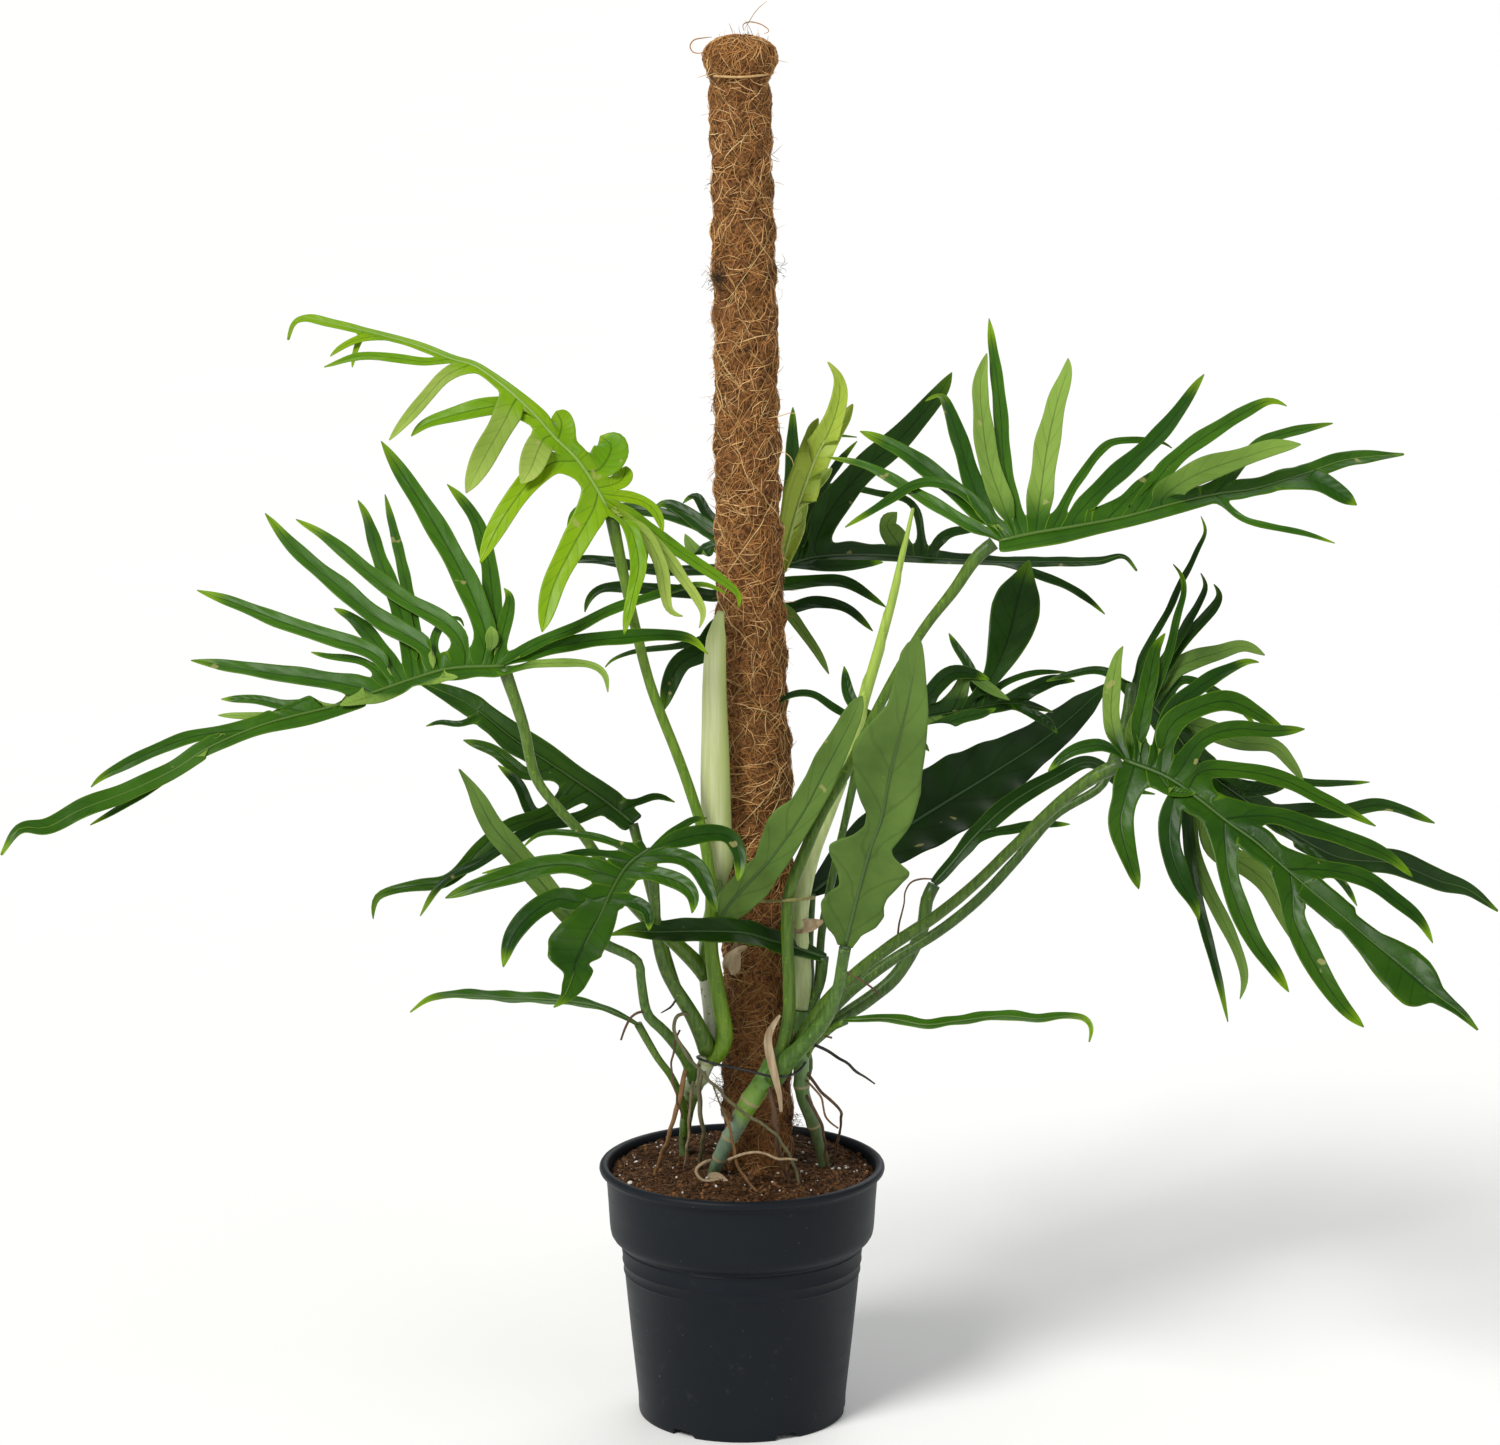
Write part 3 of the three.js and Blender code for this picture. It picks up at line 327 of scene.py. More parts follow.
# Colours of the leaves, linear: the upper side's two greens, the lower side's two, the rib, the
# stalk's two and the tips; then how strongly the tips' tone shows at tips and margins, and the
# upper side's roughness
LEAF_LOOKS = {
    "lime": {
        "top": ((0.10, 0.24, 0.002), (0.20, 0.35, 0.004)),
        "under": ((0.19, 0.29, 0.035), (0.31, 0.41, 0.075)), "rib": (0.24, 0.38, 0.06),
        "stalk": ((0.075, 0.165, 0.004), (0.150, 0.260, 0.012)), "tip": (0.29, 0.43, 0.006), "lime": 0.5,
        "gloss": 0.30,
    },
    "mid": {
        "top": ((0.014, 0.062, 0.0015), (0.042, 0.130, 0.004)),
        "under": ((0.11, 0.20, 0.028), (0.20, 0.32, 0.050)), "rib": (0.075, 0.16, 0.014),
        "stalk": ((0.050, 0.115, 0.006), (0.110, 0.195, 0.018)), "tip": (0.22, 0.38, 0.005), "lime": 0.9,
        "gloss": 0.32,
    },
    "rich": {
        "top": ((0.006, 0.036, 0.0004), (0.028, 0.090, 0.0010)),
        "under": ((0.08, 0.15, 0.020), (0.15, 0.25, 0.036)), "rib": (0.035, 0.090, 0.006),
        "stalk": ((0.035, 0.085, 0.005), (0.085, 0.155, 0.015)), "tip": (0.17, 0.32, 0.004), "lime": 0.9,
        "gloss": 0.29,
    },
    "deep": {
        "top": ((0.005, 0.024, 0.0010), (0.017, 0.060, 0.0035)),
        "under": ((0.07, 0.14, 0.022), (0.15, 0.25, 0.042)), "rib": (0.026, 0.072, 0.007),
        "stalk": ((0.025, 0.065, 0.006), (0.065, 0.130, 0.016)), "tip": (0.14, 0.29, 0.004), "lime": 0.85,
        "gloss": 0.28,
    },
    "dark": {
        "top": ((0.0015, 0.010, 0.0006), (0.009, 0.034, 0.002)),
        "under": ((0.06, 0.12, 0.020), (0.12, 0.20, 0.040)), "rib": (0.015, 0.050, 0.006),
        "stalk": ((0.025, 0.070, 0.010), (0.065, 0.130, 0.024)), "tip": (0.03, 0.12, 0.004), "lime": 0.25,
        "gloss": 0.30,
    },
    "fresh": {
        "top": ((0.24, 0.35, 0.025), (0.42, 0.54, 0.08)), "under": ((0.26, 0.39, 0.06), (0.44, 0.55, 0.13)),
        "rib": (0.42, 0.54, 0.14), "stalk": ((0.10, 0.21, 0.02), (0.20, 0.33, 0.04)),
        "tip": (0.45, 0.50, 0.08), "lime": 0.4, "gloss": 0.34,
    },
    "pale": {
        "top": ((0.014, 0.065, 0.004), (0.04, 0.13, 0.010)),
        "under": ((0.048, 0.100, 0.014), (0.112, 0.195, 0.034)), "rib": (0.045, 0.095, 0.014),
        "stalk": ((0.040, 0.100, 0.010), (0.090, 0.175, 0.024)), "tip": (0.20, 0.36, 0.02), "lime": 0.3,
        "gloss": 0.34,
    },
}


def blade_look(name, look, lower):
    """One side of a blade. A lobe whose mark is pale shows its other side here."""
    build = Looks(name)
    edge = build.mark("edge")
    along = build.mark("along")
    tint = build.mark("tint")
    cloud = build.noise(22.0, 4.0)
    grain = build.noise(420.0, 3.0)
    mottle = build.plus(build.times(cloud, 0.9), build.times(tint, 0.55))
    mottle = build.step(mottle, 0.35, 1.05)
    dark, light = look["top"]
    upper = build.mix(mottle, dark, light)
    reach = build.plus(build.step(along, 0.82, 0.96), build.step(edge, 0.88, 1.02, 0.0, 0.5))
    reach = build.times(reach, build.step(build.noise(14.0, 2.0), 0.3, 0.7, 0.35, 1.0))
    upper = build.mix(build.times(reach, look["lime"], clamp=True), upper, look["tip"])
    # Lobe middle lines: on the upper side this mark darkens the blade towards shade, which is painted shade
    # in the middle groove; on the lower side it darkens the raised vein's own tone; in the bump it makes the
    # groove above and the ridge below
    vein_and_groove_shade = build.step(edge, 0.0, 0.11, 1.0, 0.0)
    # shade: a darker copy of the upper side's dark green, used as painted shade in the upper side's grooves
    shade = tuple(0.45 * part for part in dark)
    upper = build.mix(build.times(vein_and_groove_shade, 0.7), upper, shade)
    dull, fresh = look["under"]
    under = build.mix(mottle, dull, fresh)
    under = build.mix(build.times(vein_and_groove_shade, 0.7), under, tuple(0.55 * part for part in dull))
    swept = build.math("SUBTRACT", build.times(along, 7.0), build.times(edge, 1.1))
    swept = build.plus(swept, build.times(cloud, 0.5))
    ridges = build.math("SINE", build.times(swept, CIRCLE))
    # Side veins: thin lines along each lobe that are shallow grooves in the bump; darkening them towards
    # shade above and a darker lower green below is painted shade in these grooves and folds
    side_vein_shade = build.step(ridges, 0.88, 1.0, 0.0, 0.28)
    under = build.mix(side_vein_shade, under, tuple(0.5 * part for part in dull))
    under = build.mix(build.step(along, 0.45, 1.0, 0.0, 0.45), under, tuple(1.25 * part for part in fresh))
    upper = build.mix(side_vein_shade, upper, shade)
    turned = build.mark("pale")
    if lower:
        turned = build.math("SUBTRACT", 1.0, turned)
    base = build.mix(turned, upper, under)
    scars = build.step(build.noise(48.0, 2.0), 0.71, 0.74, 0.0, 0.55)
    base = build.mix(scars, base, (0.36, 0.33, 0.12))
    height = build.plus(build.times(ridges, -0.12),
                        build.times(vein_and_groove_shade, build.step(turned, 0.0, 1.0, -0.55, 0.5)))
    height = build.plus(height, build.times(grain, 0.16))
    height = build.plus(height, build.times(build.noise(75.0, 3.0), 0.5))
    gloss = build.step(turned, 0.0, 1.0, look["gloss"], 0.5)
    gloss = build.plus(gloss, build.times(build.noise(60.0, 2.0), 0.16))
    return build.finish(base, gloss, build.bump(height, 0.5, 0.0012), specular=0.16)


def rib_look(name, look):
    build = Looks(name)
    along = build.mark("along")
    base = build.mix(build.step(along, 0.75, 1.0, 0.0, 0.5), look["rib"], look["tip"])
    base = build.mix(build.times(build.noise(90.0), 0.4), base, look["stalk"][0])
    return build.finish(base, 0.42, build.bump(build.noise(300.0), 0.25, 0.0006))


def stalk_look(name, look):
    """Round green stalk: darker at its swollen top, with fine lengthwise streaks and freckles."""
    build = Looks(name)
    along = build.mark("along")
    streaks = build.noise(30.0, 4.0, vector=build.stretched((14.0, 14.0, 1.1)))
    dark, light = look["stalk"]
    base = build.mix(build.step(streaks, 0.3, 0.72), dark, light)
    base = build.mix(build.step(along, 0.0, 0.06, 0.75, 0.0), base, (0.035, 0.07, 0.02))
    freckles = build.step(build.noise(260.0, 2.0), 0.62, 0.72)
    base = build.mix(build.times(freckles, 0.4), base, look["tip"])
    height = build.plus(streaks, build.times(build.noise(350.0), 0.3))
    return build.finish(base, 0.4, build.bump(height, 0.3, 0.0008), specular=0.35)


LEAF_MATERIALS = {}


def leaf_materials(name):
    """Upper side, lower side, rib and stalk of one of the leaf looks."""
    if name not in LEAF_MATERIALS:
        look = LEAF_LOOKS[name]
        LEAF_MATERIALS[name] = [
            blade_look(name + "_blade_upper", look, False),
            blade_look(name + "_blade_lower", look, True),
            rib_look(name + "_rib", look),
            stalk_look(name + "_stalk", look),
        ]
    return LEAF_MATERIALS[name]


def nearest_on(path, point):
    """Nearest place to a point on a path of view places, with the path's direction there."""
    best = None
    for (x, y, z), (x2, y2, z2) in zip(path, path[1:]):
        run = (x2 - x, y2 - y)
        share = ((point[0] - x) * run[0] + (point[1] - y) * run[1]) / (run[0] ** 2 + run[1] ** 2)
        share = min(max(share, 0.0), 1.0)
        place = (x + run[0] * share, y + run[1] * share, z + (z2 - z) * share)
        far = math.hypot(point[0] - place[0], point[1] - place[1])
        if best is None or far < best[0]:
            best = (far, place, run)
    return best[1], best[2]


class Blade:
    """A leaf's blade: a rib with lobes to both sides and one at its end, as one sheet."""

    COLUMNS = 6
    LEAST_STEP = 3.5 * MM
    FOLD = 0.26
    WAVE = 0.10
    THICKNESS = 0.7 * MM

    def __init__(self, name, leaf):
        self.leaf = leaf
        self.chance = random.Random(name)
        self.face = unit(np.array([0.0, -1.0, leaf["lean"]]))
        self.rib = route(leaf["rib"])
        self.sheet = Sheet()
        self.pale = float(leaf.get("pale", 0))
        self.fold = leaf.get("fold", self.FOLD)
        self.wave = leaf.get("wave", self.WAVE)
        self.rims = {}

    def half(self, run, side=0):
        """Half the blade's width. A profile gives the right and left of the rib apart, in view pixels."""
        share = min(run / self.rib.length, 1.0)
        if side and "profile" in self.leaf and share >= self.leaf["profile"][0][0]:
            shares, right, left = zip(*self.leaf["profile"])
            return float(np.interp(share, shares, right if side > 0 else left)) * PIXEL * MM
        return evenly(self.leaf["widths"], share) / 2 * MM

    def across(self, run, side):
        return side * unit(np.cross(self.rib.heading(run), self.face))

    def lobe(self, row):
        """Where a lobe starts, to which side it goes, its middle line and its width."""
        width, away, pale, *points = row
        start, run = nearest_on(self.leaf["rib"], points[0])
        flat = [start[:2]] + [p for p in points if math.hypot(p[0] - start[0], p[1] - start[1]) > 8]
        if len(flat) < 2:
            flat.append(points[-1])
        middle = flat[max(1, len(flat) // 2)]
        chord = (middle[0] - start[0], middle[1] - start[1])
        side = 1 if run[0] * chord[1] - run[1] * chord[0] > 0 else -1
        cosine = (run[0] * chord[0] + run[1] * chord[1]) / max(math.hypot(*run) * math.hypot(*chord), 1e-6)
        angle = math.acos(min(max(cosine, -1.0), 1.0))
        foot = seen(*start)
        place = self.rib.runs[int(np.argmin(np.linalg.norm(self.rib.points - foot, axis=1)))]
        return {
            "run": float(place), "side": side, "angle": angle, "flat": flat, "depth": start[2], "away": away,
            "pale": pale, "width": (max(width) if isinstance(width, list) else width) * PIXEL * MM,
            "widths": width if isinstance(width, list) else None, "order": place / (14 * MM) - angle,
        }

    def line(self, lobe):
        """Middle line of a lobe, which leans back as it rises and hangs back towards its tip."""
        flat = lobe["flat"]
        runs = [0.0]
        for (x, y), (x2, y2) in zip(flat, flat[1:]):
            runs.append(runs[-1] + math.hypot(x2 - x, y2 - y))
        lean = min(self.leaf["lean"], 0.9)
        places = [self.rib.at(lobe["run"])]
        for (x, y), run in list(zip(flat, runs))[1:]:
            share = run / runs[-1]
            depth = lobe["depth"] + (flat[0][1] - y) * PIXEL * lean
            depth += DROOP * runs[-1] * PIXEL * share * share + lobe["away"] * share
            places.append(seen(x, y, depth))
        return Path(places)

    def spread(self, lobes, end):
        """Keeps neighbouring lobes' starts apart along the rib."""
        for before, after in zip(lobes, lobes[1:]):
            after["run"] = max(after["run"], before["run"] + self.LEAST_STEP)
        limit = end
        for lobe in reversed(lobes):
            lobe["run"] = min(lobe["run"], limit)
            limit = lobe["run"] - self.LEAST_STEP
        for lobe in lobes:
            lobe["run"] = max(lobe["run"], 0.0)
            lobe["path"] = self.line(lobe)
            slant = max(math.sin(lobe["angle"]), 0.45)
            lobe["foot"] = 0.6 * lobe["width"] / slant

    def rim(self, run, side, outward, reach=None):
        """Margin of the blade between two lobes; both of them start from it."""
        key = (round(run, 7), side)
        if key not in self.rims:
            foot = self.rib.at(run)
            forward = self.rib.heading(run)
            up = unit(np.cross(outward, forward)) * side
            up = up if np.dot(up, self.face) > 0 else -up
            reach = reach or self.half(run) * 0.92
            self.rims[key] = foot + outward * reach + up * reach * self.fold * 0.8
        return self.rims[key]

    def side(self, side, lobes, end):
        """Lobes and the plain stretches between them, along one side of the rib."""
        cursor = 0.0
        for index, lobe in enumerate(lobes):
            heading = lobe["path"].heading(lobe["path"].length * 0.2)
            low = max(lobe["run"] - lobe["foot"], 0.0)
            high = min(lobe["run"] + lobe["foot"], end)
            if index:
                low = max(low, (lobes[index - 1]["run"] + lobe["run"]) / 2)
            if index + 1 < len(lobes):
                high = min(high, (lobes[index + 1]["run"] + lobe["run"]) / 2)
            if low - cursor > 4 * MM:
                outward = unit(self.across(low, side) + heading * 0.7)
                self.rim(low, side, outward)
                if (round(cursor, 7), side) not in self.rims:
                    self.rim(cursor, side, unit(self.across(cursor, side) - self.rib.heading(cursor) * 0.3))
                self.band(cursor, low, side)
            else:
                low = cursor
                if (round(low, 7), side) not in self.rims:
                    self.rim(low, side, unit(heading - self.rib.heading(low) * 0.35), self.half(low) * 0.75)
            if index + 1 < len(lobes) and lobes[index + 1]["run"] - lobes[index + 1]["foot"] - high < 4 * MM:
                after = lobes[index + 1]["path"]
                outward = unit(heading + after.heading(after.length * 0.2))
            elif end - high < 1.5 * MM:
                high = end
                outward = unit(self.across(high, side) + heading * 0.6)
            else:
                outward = unit(self.across(high, side) + heading * 0.7)
            if high - low < 1.5 * MM:
                high = min(low + 1.5 * MM, end)
            self.rim(high, side, outward)
            self.lay_lobe(lobe, low, high, side)
            cursor = high
        if end - cursor > 1e-6:
            if (round(cursor, 7), side) not in self.rims:
                self.rim(cursor, side, unit(self.across(cursor, side) - self.rib.heading(cursor) * 0.3))
            self.rim(end, side, self.across(end, side))
            self.band(cursor, end, side)

    def facing(self, rows, marks):
        """Lays a grid with its faces towards the leaf's upper side."""
        first = len(self.sheet.faces)
        self.sheet.grid(rows, marks)
        total = np.zeros(3)
        for a, b, c, d in self.sheet.faces[first:]:
            corners = [np.array(self.sheet.places[corner]) for corner in (a, b, c, d)]
            total += np.cross(corners[2] - corners[0], corners[3] - corners[1])
        if np.dot(total, self.face) < 0:
            self.sheet.faces[first:] = [tuple(reversed(face)) for face in self.sheet.faces[first:]]

    def band(self, low, high, side):
        """Plain stretch of blade between two lobes."""
        count = max(2, int((high - low) / (7 * MM)) + 1)
        first = self.rims[(round(low, 7), side)] - self.rib.at(low)
        last = self.rims[(round(high, 7), side)] - self.rib.at(high)
        rows = []
        marks = []
        for step in range(count + 1):
            share = step / count
            run = low + (high - low) * share
            foot = self.rib.at(run)
            out = first * (1 - share) + last * share
            if 0 < step < count:
                swell = 1 + 0.10 * math.sin(share * math.pi * 3 + low * 90)
                out = unit(out) * self.half(run) * swell
            rows.append([foot, foot + out / 2, foot + out])
            marks.append([
                (0.0, 0.1, self.pale, 0.5), (0.5, 0.1, self.pale, 0.5), (1.0, 0.1, self.pale, 0.5)
            ])
        self.facing(rows, marks)

    def lay_lobe(self, lobe, low, high, side):
        """One lobe, from the rib out past the two margins beside it, to its tip."""
        path = lobe["path"]
        steps = np.linspace(-1, 1, self.COLUMNS + 1)
        rim_low = self.rims[(round(low, 7), side)]
        rim_high = self.rims[(round(high, 7), side)]
        reach = min((np.linalg.norm(rim_low - self.rib.at(low))
                     + np.linalg.norm(rim_high - self.rib.at(high))) / 2,
                    0.4 * path.length)
        foot_row = [self.rib.at(low + (high - low) * (u + 1) / 2) for u in steps]
        centre = path.at(reach)
        rim_row = [centre + ((rim_low if u < 0 else rim_high) - centre) * abs(u) for u in steps]
        rows = [foot_row, [(a + b) / 2 for a, b in zip(foot_row, rim_row)], rim_row]
        tint = self.chance.random()
        marks = [[(abs(u), 0.0, self.pale, 0.5) for u in steps] for _ in rows]
        base = unit(rim_high - rim_low)
        kept = base
        base_half = np.linalg.norm(rim_high - rim_low) / 2
        twist = self.chance.uniform(-0.35, 0.35)
        phases = [self.chance.uniform(0, 6.28) for _ in range(3)]
        span = path.length - reach
        wave_length = lobe["width"] * self.chance.uniform(1.7, 2.4) + 12 * MM
        count = max(6, min(20, int(span / (7 * MM))))
        pale = abs(self.pale - lobe["pale"])
        for step in range(1, count + 1):
            share = (step / count) ** 0.92
            run = reach + span * share
            heading = path.heading(run)
            flat_side = unit(np.cross(heading, self.face))
            if np.dot(flat_side, kept) < 0:
                flat_side = -flat_side
            kept = flat_side
            out = unit(base + (flat_side - base) * smooth(0, min(0.3, 18 * MM / span), share))
            out = unit(out - heading * np.dot(out, heading) * smooth(0, 0.3, share))
            up = unit(np.cross(out, heading))
            up = up if np.dot(up, self.face) > 0 else -up
            turn = twist * smooth(0.1, 0.9, share)
            out, up = out * math.cos(turn) + up * math.sin(turn), up * math.cos(turn) - out * math.sin(turn)
            grown = smooth(0, min(0.5, 1.1 * lobe["width"] / span), share)
            taper = max(1 - share ** 3.4, 0.0) ** 0.62
            swell = 1 + 0.07 * math.sin(run / wave_length * 5 + phases[2])
            full = lobe["width"] / 2 * swell * taper
            if lobe["widths"]:
                full = evenly(lobe["widths"], share) * PIXEL * MM / 2
            half = max(base_half * (1 - grown) + full * grown, 0.25 * MM)
            row = []
            for u in steps:
                phase = phases[0] if u < 0 else phases[1]
                wave = math.sin(run / wave_length * CIRCLE + phase) * self.WAVE * u * u * grown
                rise = (self.fold * abs(u) ** 1.4 + wave) * half
                row.append(path.at(run) + out * half * u + up * rise)
            rows.append(row)
            turned = self.pale + (pale - self.pale) * smooth(0.0, 0.22, share)
            marks.append([(
                abs(u), share, turned, 0.5 + (tint - 0.5) * smooth(0, 0.2, share)
            ) for u in steps])
        self.facing(rows, marks)

    def last_lobe(self, end):
        """The blade past its last side lobes, to its tip."""
        rims = []
        for side in (-1, 1):
            rims.append(self.rim(end, side, self.across(end, side)))
        foot = self.rib.at(end)
        rows = [[rims[0], (rims[0] + foot) / 2, foot, (rims[1] + foot) / 2, rims[1]]]
        steps = (-1.0, -0.5, 0.0, 0.5, 1.0)
        if end == 0.0:
            steps = tuple(np.linspace(-1, 1, 9))
            rows = [[foot + ((rims[0] if u < 0 else rims[1]) - foot) * abs(u) for u in steps]]
        marks = [[(abs(u), 0.1, self.pale, 0.5) for u in steps]]
        span = self.rib.length - end
        count = max(5, int(span / ((3 if "profile" in self.leaf else 6) * MM)))
        phases = [self.chance.uniform(0, 6.28) for _ in range(2)]
        wave_length = self.half(end) * 2.2 + 26 * MM
        for step in range(1, count + 1):
            share = step / count
            run = end + span * share
            heading = self.rib.heading(run)
            out = self.across(run, 1)
            up = unit(np.cross(out, heading))
            up = up if np.dot(up, self.face) > 0 else -up
            row = []
            for u in steps:
                half = max(self.half(run, 1 if u > 0 else -1), 0.3 * MM)
                phase = phases[0] if u < 0 else phases[1]
                wave = math.sin(run / wave_length * CIRCLE + phase) * self.wave * u * u
                wave *= smooth(0, 0.2, share)
                rise = (self.fold * abs(u) ** 1.4 * 0.9 + wave) * half
                row.append(self.rib.at(run) + out * half * u + up * rise)
            rows.append(row)
            reach = share if end == 0.0 else max(1 - (1 - share) * span / (90 * MM), 0.0)
            marks.append([(abs(u), reach, self.pale, 0.5) for u in steps])
        self.facing(rows, marks)

    def build(self):
        lobes = [self.lobe(row) for row in self.leaf.get("lobes", [])]
        end = 0.0
        for lobe in lobes:
            end = max(end, lobe["run"] + 0.55 * lobe["width"])
        end = min(end, self.rib.length * 0.93)
        for side in (-1, 1):
            own = sorted((lobe for lobe in lobes if lobe["side"] == side), key=lambda lobe: lobe["order"])
            self.spread(own, end - 3 * MM)
            if lobes:
                self.side(side, own, end)
        self.last_lobe(end)
        return self.sheet


def thickened(name, sheet, thickness, materials, level=1):
    """Mesh of a sheet after smoothing and thickening; its lower side takes the next material."""
    data = sheet.mesh(name, weld=0.02 * MM)
    for item in materials:
        data.materials.append(item)
    rough = bpy.data.objects.new(name, data)
    bpy.context.scene.collection.objects.link(rough)
    rounder = rough.modifiers.new("rounder", "SUBSURF")
    rounder.levels = level
    rounder.render_levels = level
    solid = rough.modifiers.new("solid", "SOLIDIFY")
    solid.thickness = thickness
    solid.offset = -1
    solid.material_offset = 1
    whole = bpy.data.meshes.new_from_object(rough.evaluated_get(bpy.context.evaluated_depsgraph_get()))
    bpy.data.objects.remove(rough)
    return whole


def joined(name, meshes):
    """One mesh made of several, which keep their marks and material numbers."""
    work = bmesh.new()
    for data in meshes:
        work.from_mesh(data)
    whole = bpy.data.meshes.new(name)
    work.to_mesh(whole)
    work.free()
    whole.polygons.foreach_set("use_smooth", [True] * len(whole.polygons))
    return whole


BLADE_KIND, RIB_KIND, STALK_KIND = 0, 2, 3


def make_leaf(node, leaf):
    """A leaf with its blade, rib and stalk, in the place of its CAD node."""
    meshes = []
    if "rib" in leaf:
        blade = Blade(node, leaf)
        materials = leaf_materials(leaf["look"])
        meshes.append(thickened(node, blade.build(), blade.THICKNESS, materials, leaf.get("level", 1)))
        rib = Sheet()
        size = leaf.get("rib_radius", 1.7)
        rib.tube(blade.rib, [size, size * 0.85, size * 0.6, size * 0.4, 0.35], 8,
                 max(8, int(blade.rib.length / (8 * MM))), RIB_KIND, flat=0.8)
        meshes.append(rib.mesh(node))
    if "stalk" in leaf:
        path = route(leaf["stalk"])
        stalk = Sheet()
        radii = leaf["radii"]
        stalk.tube(path, radii, 14, max(10, int(path.length / (7 * MM))), STALK_KIND, wobble=0.05)
        meshes.append(stalk.mesh(node))
    piece = place_object(node + "_grown", joined(node, meshes), leaf_materials(leaf["look"]))
    return finished(piece, leaf["slot"], node)


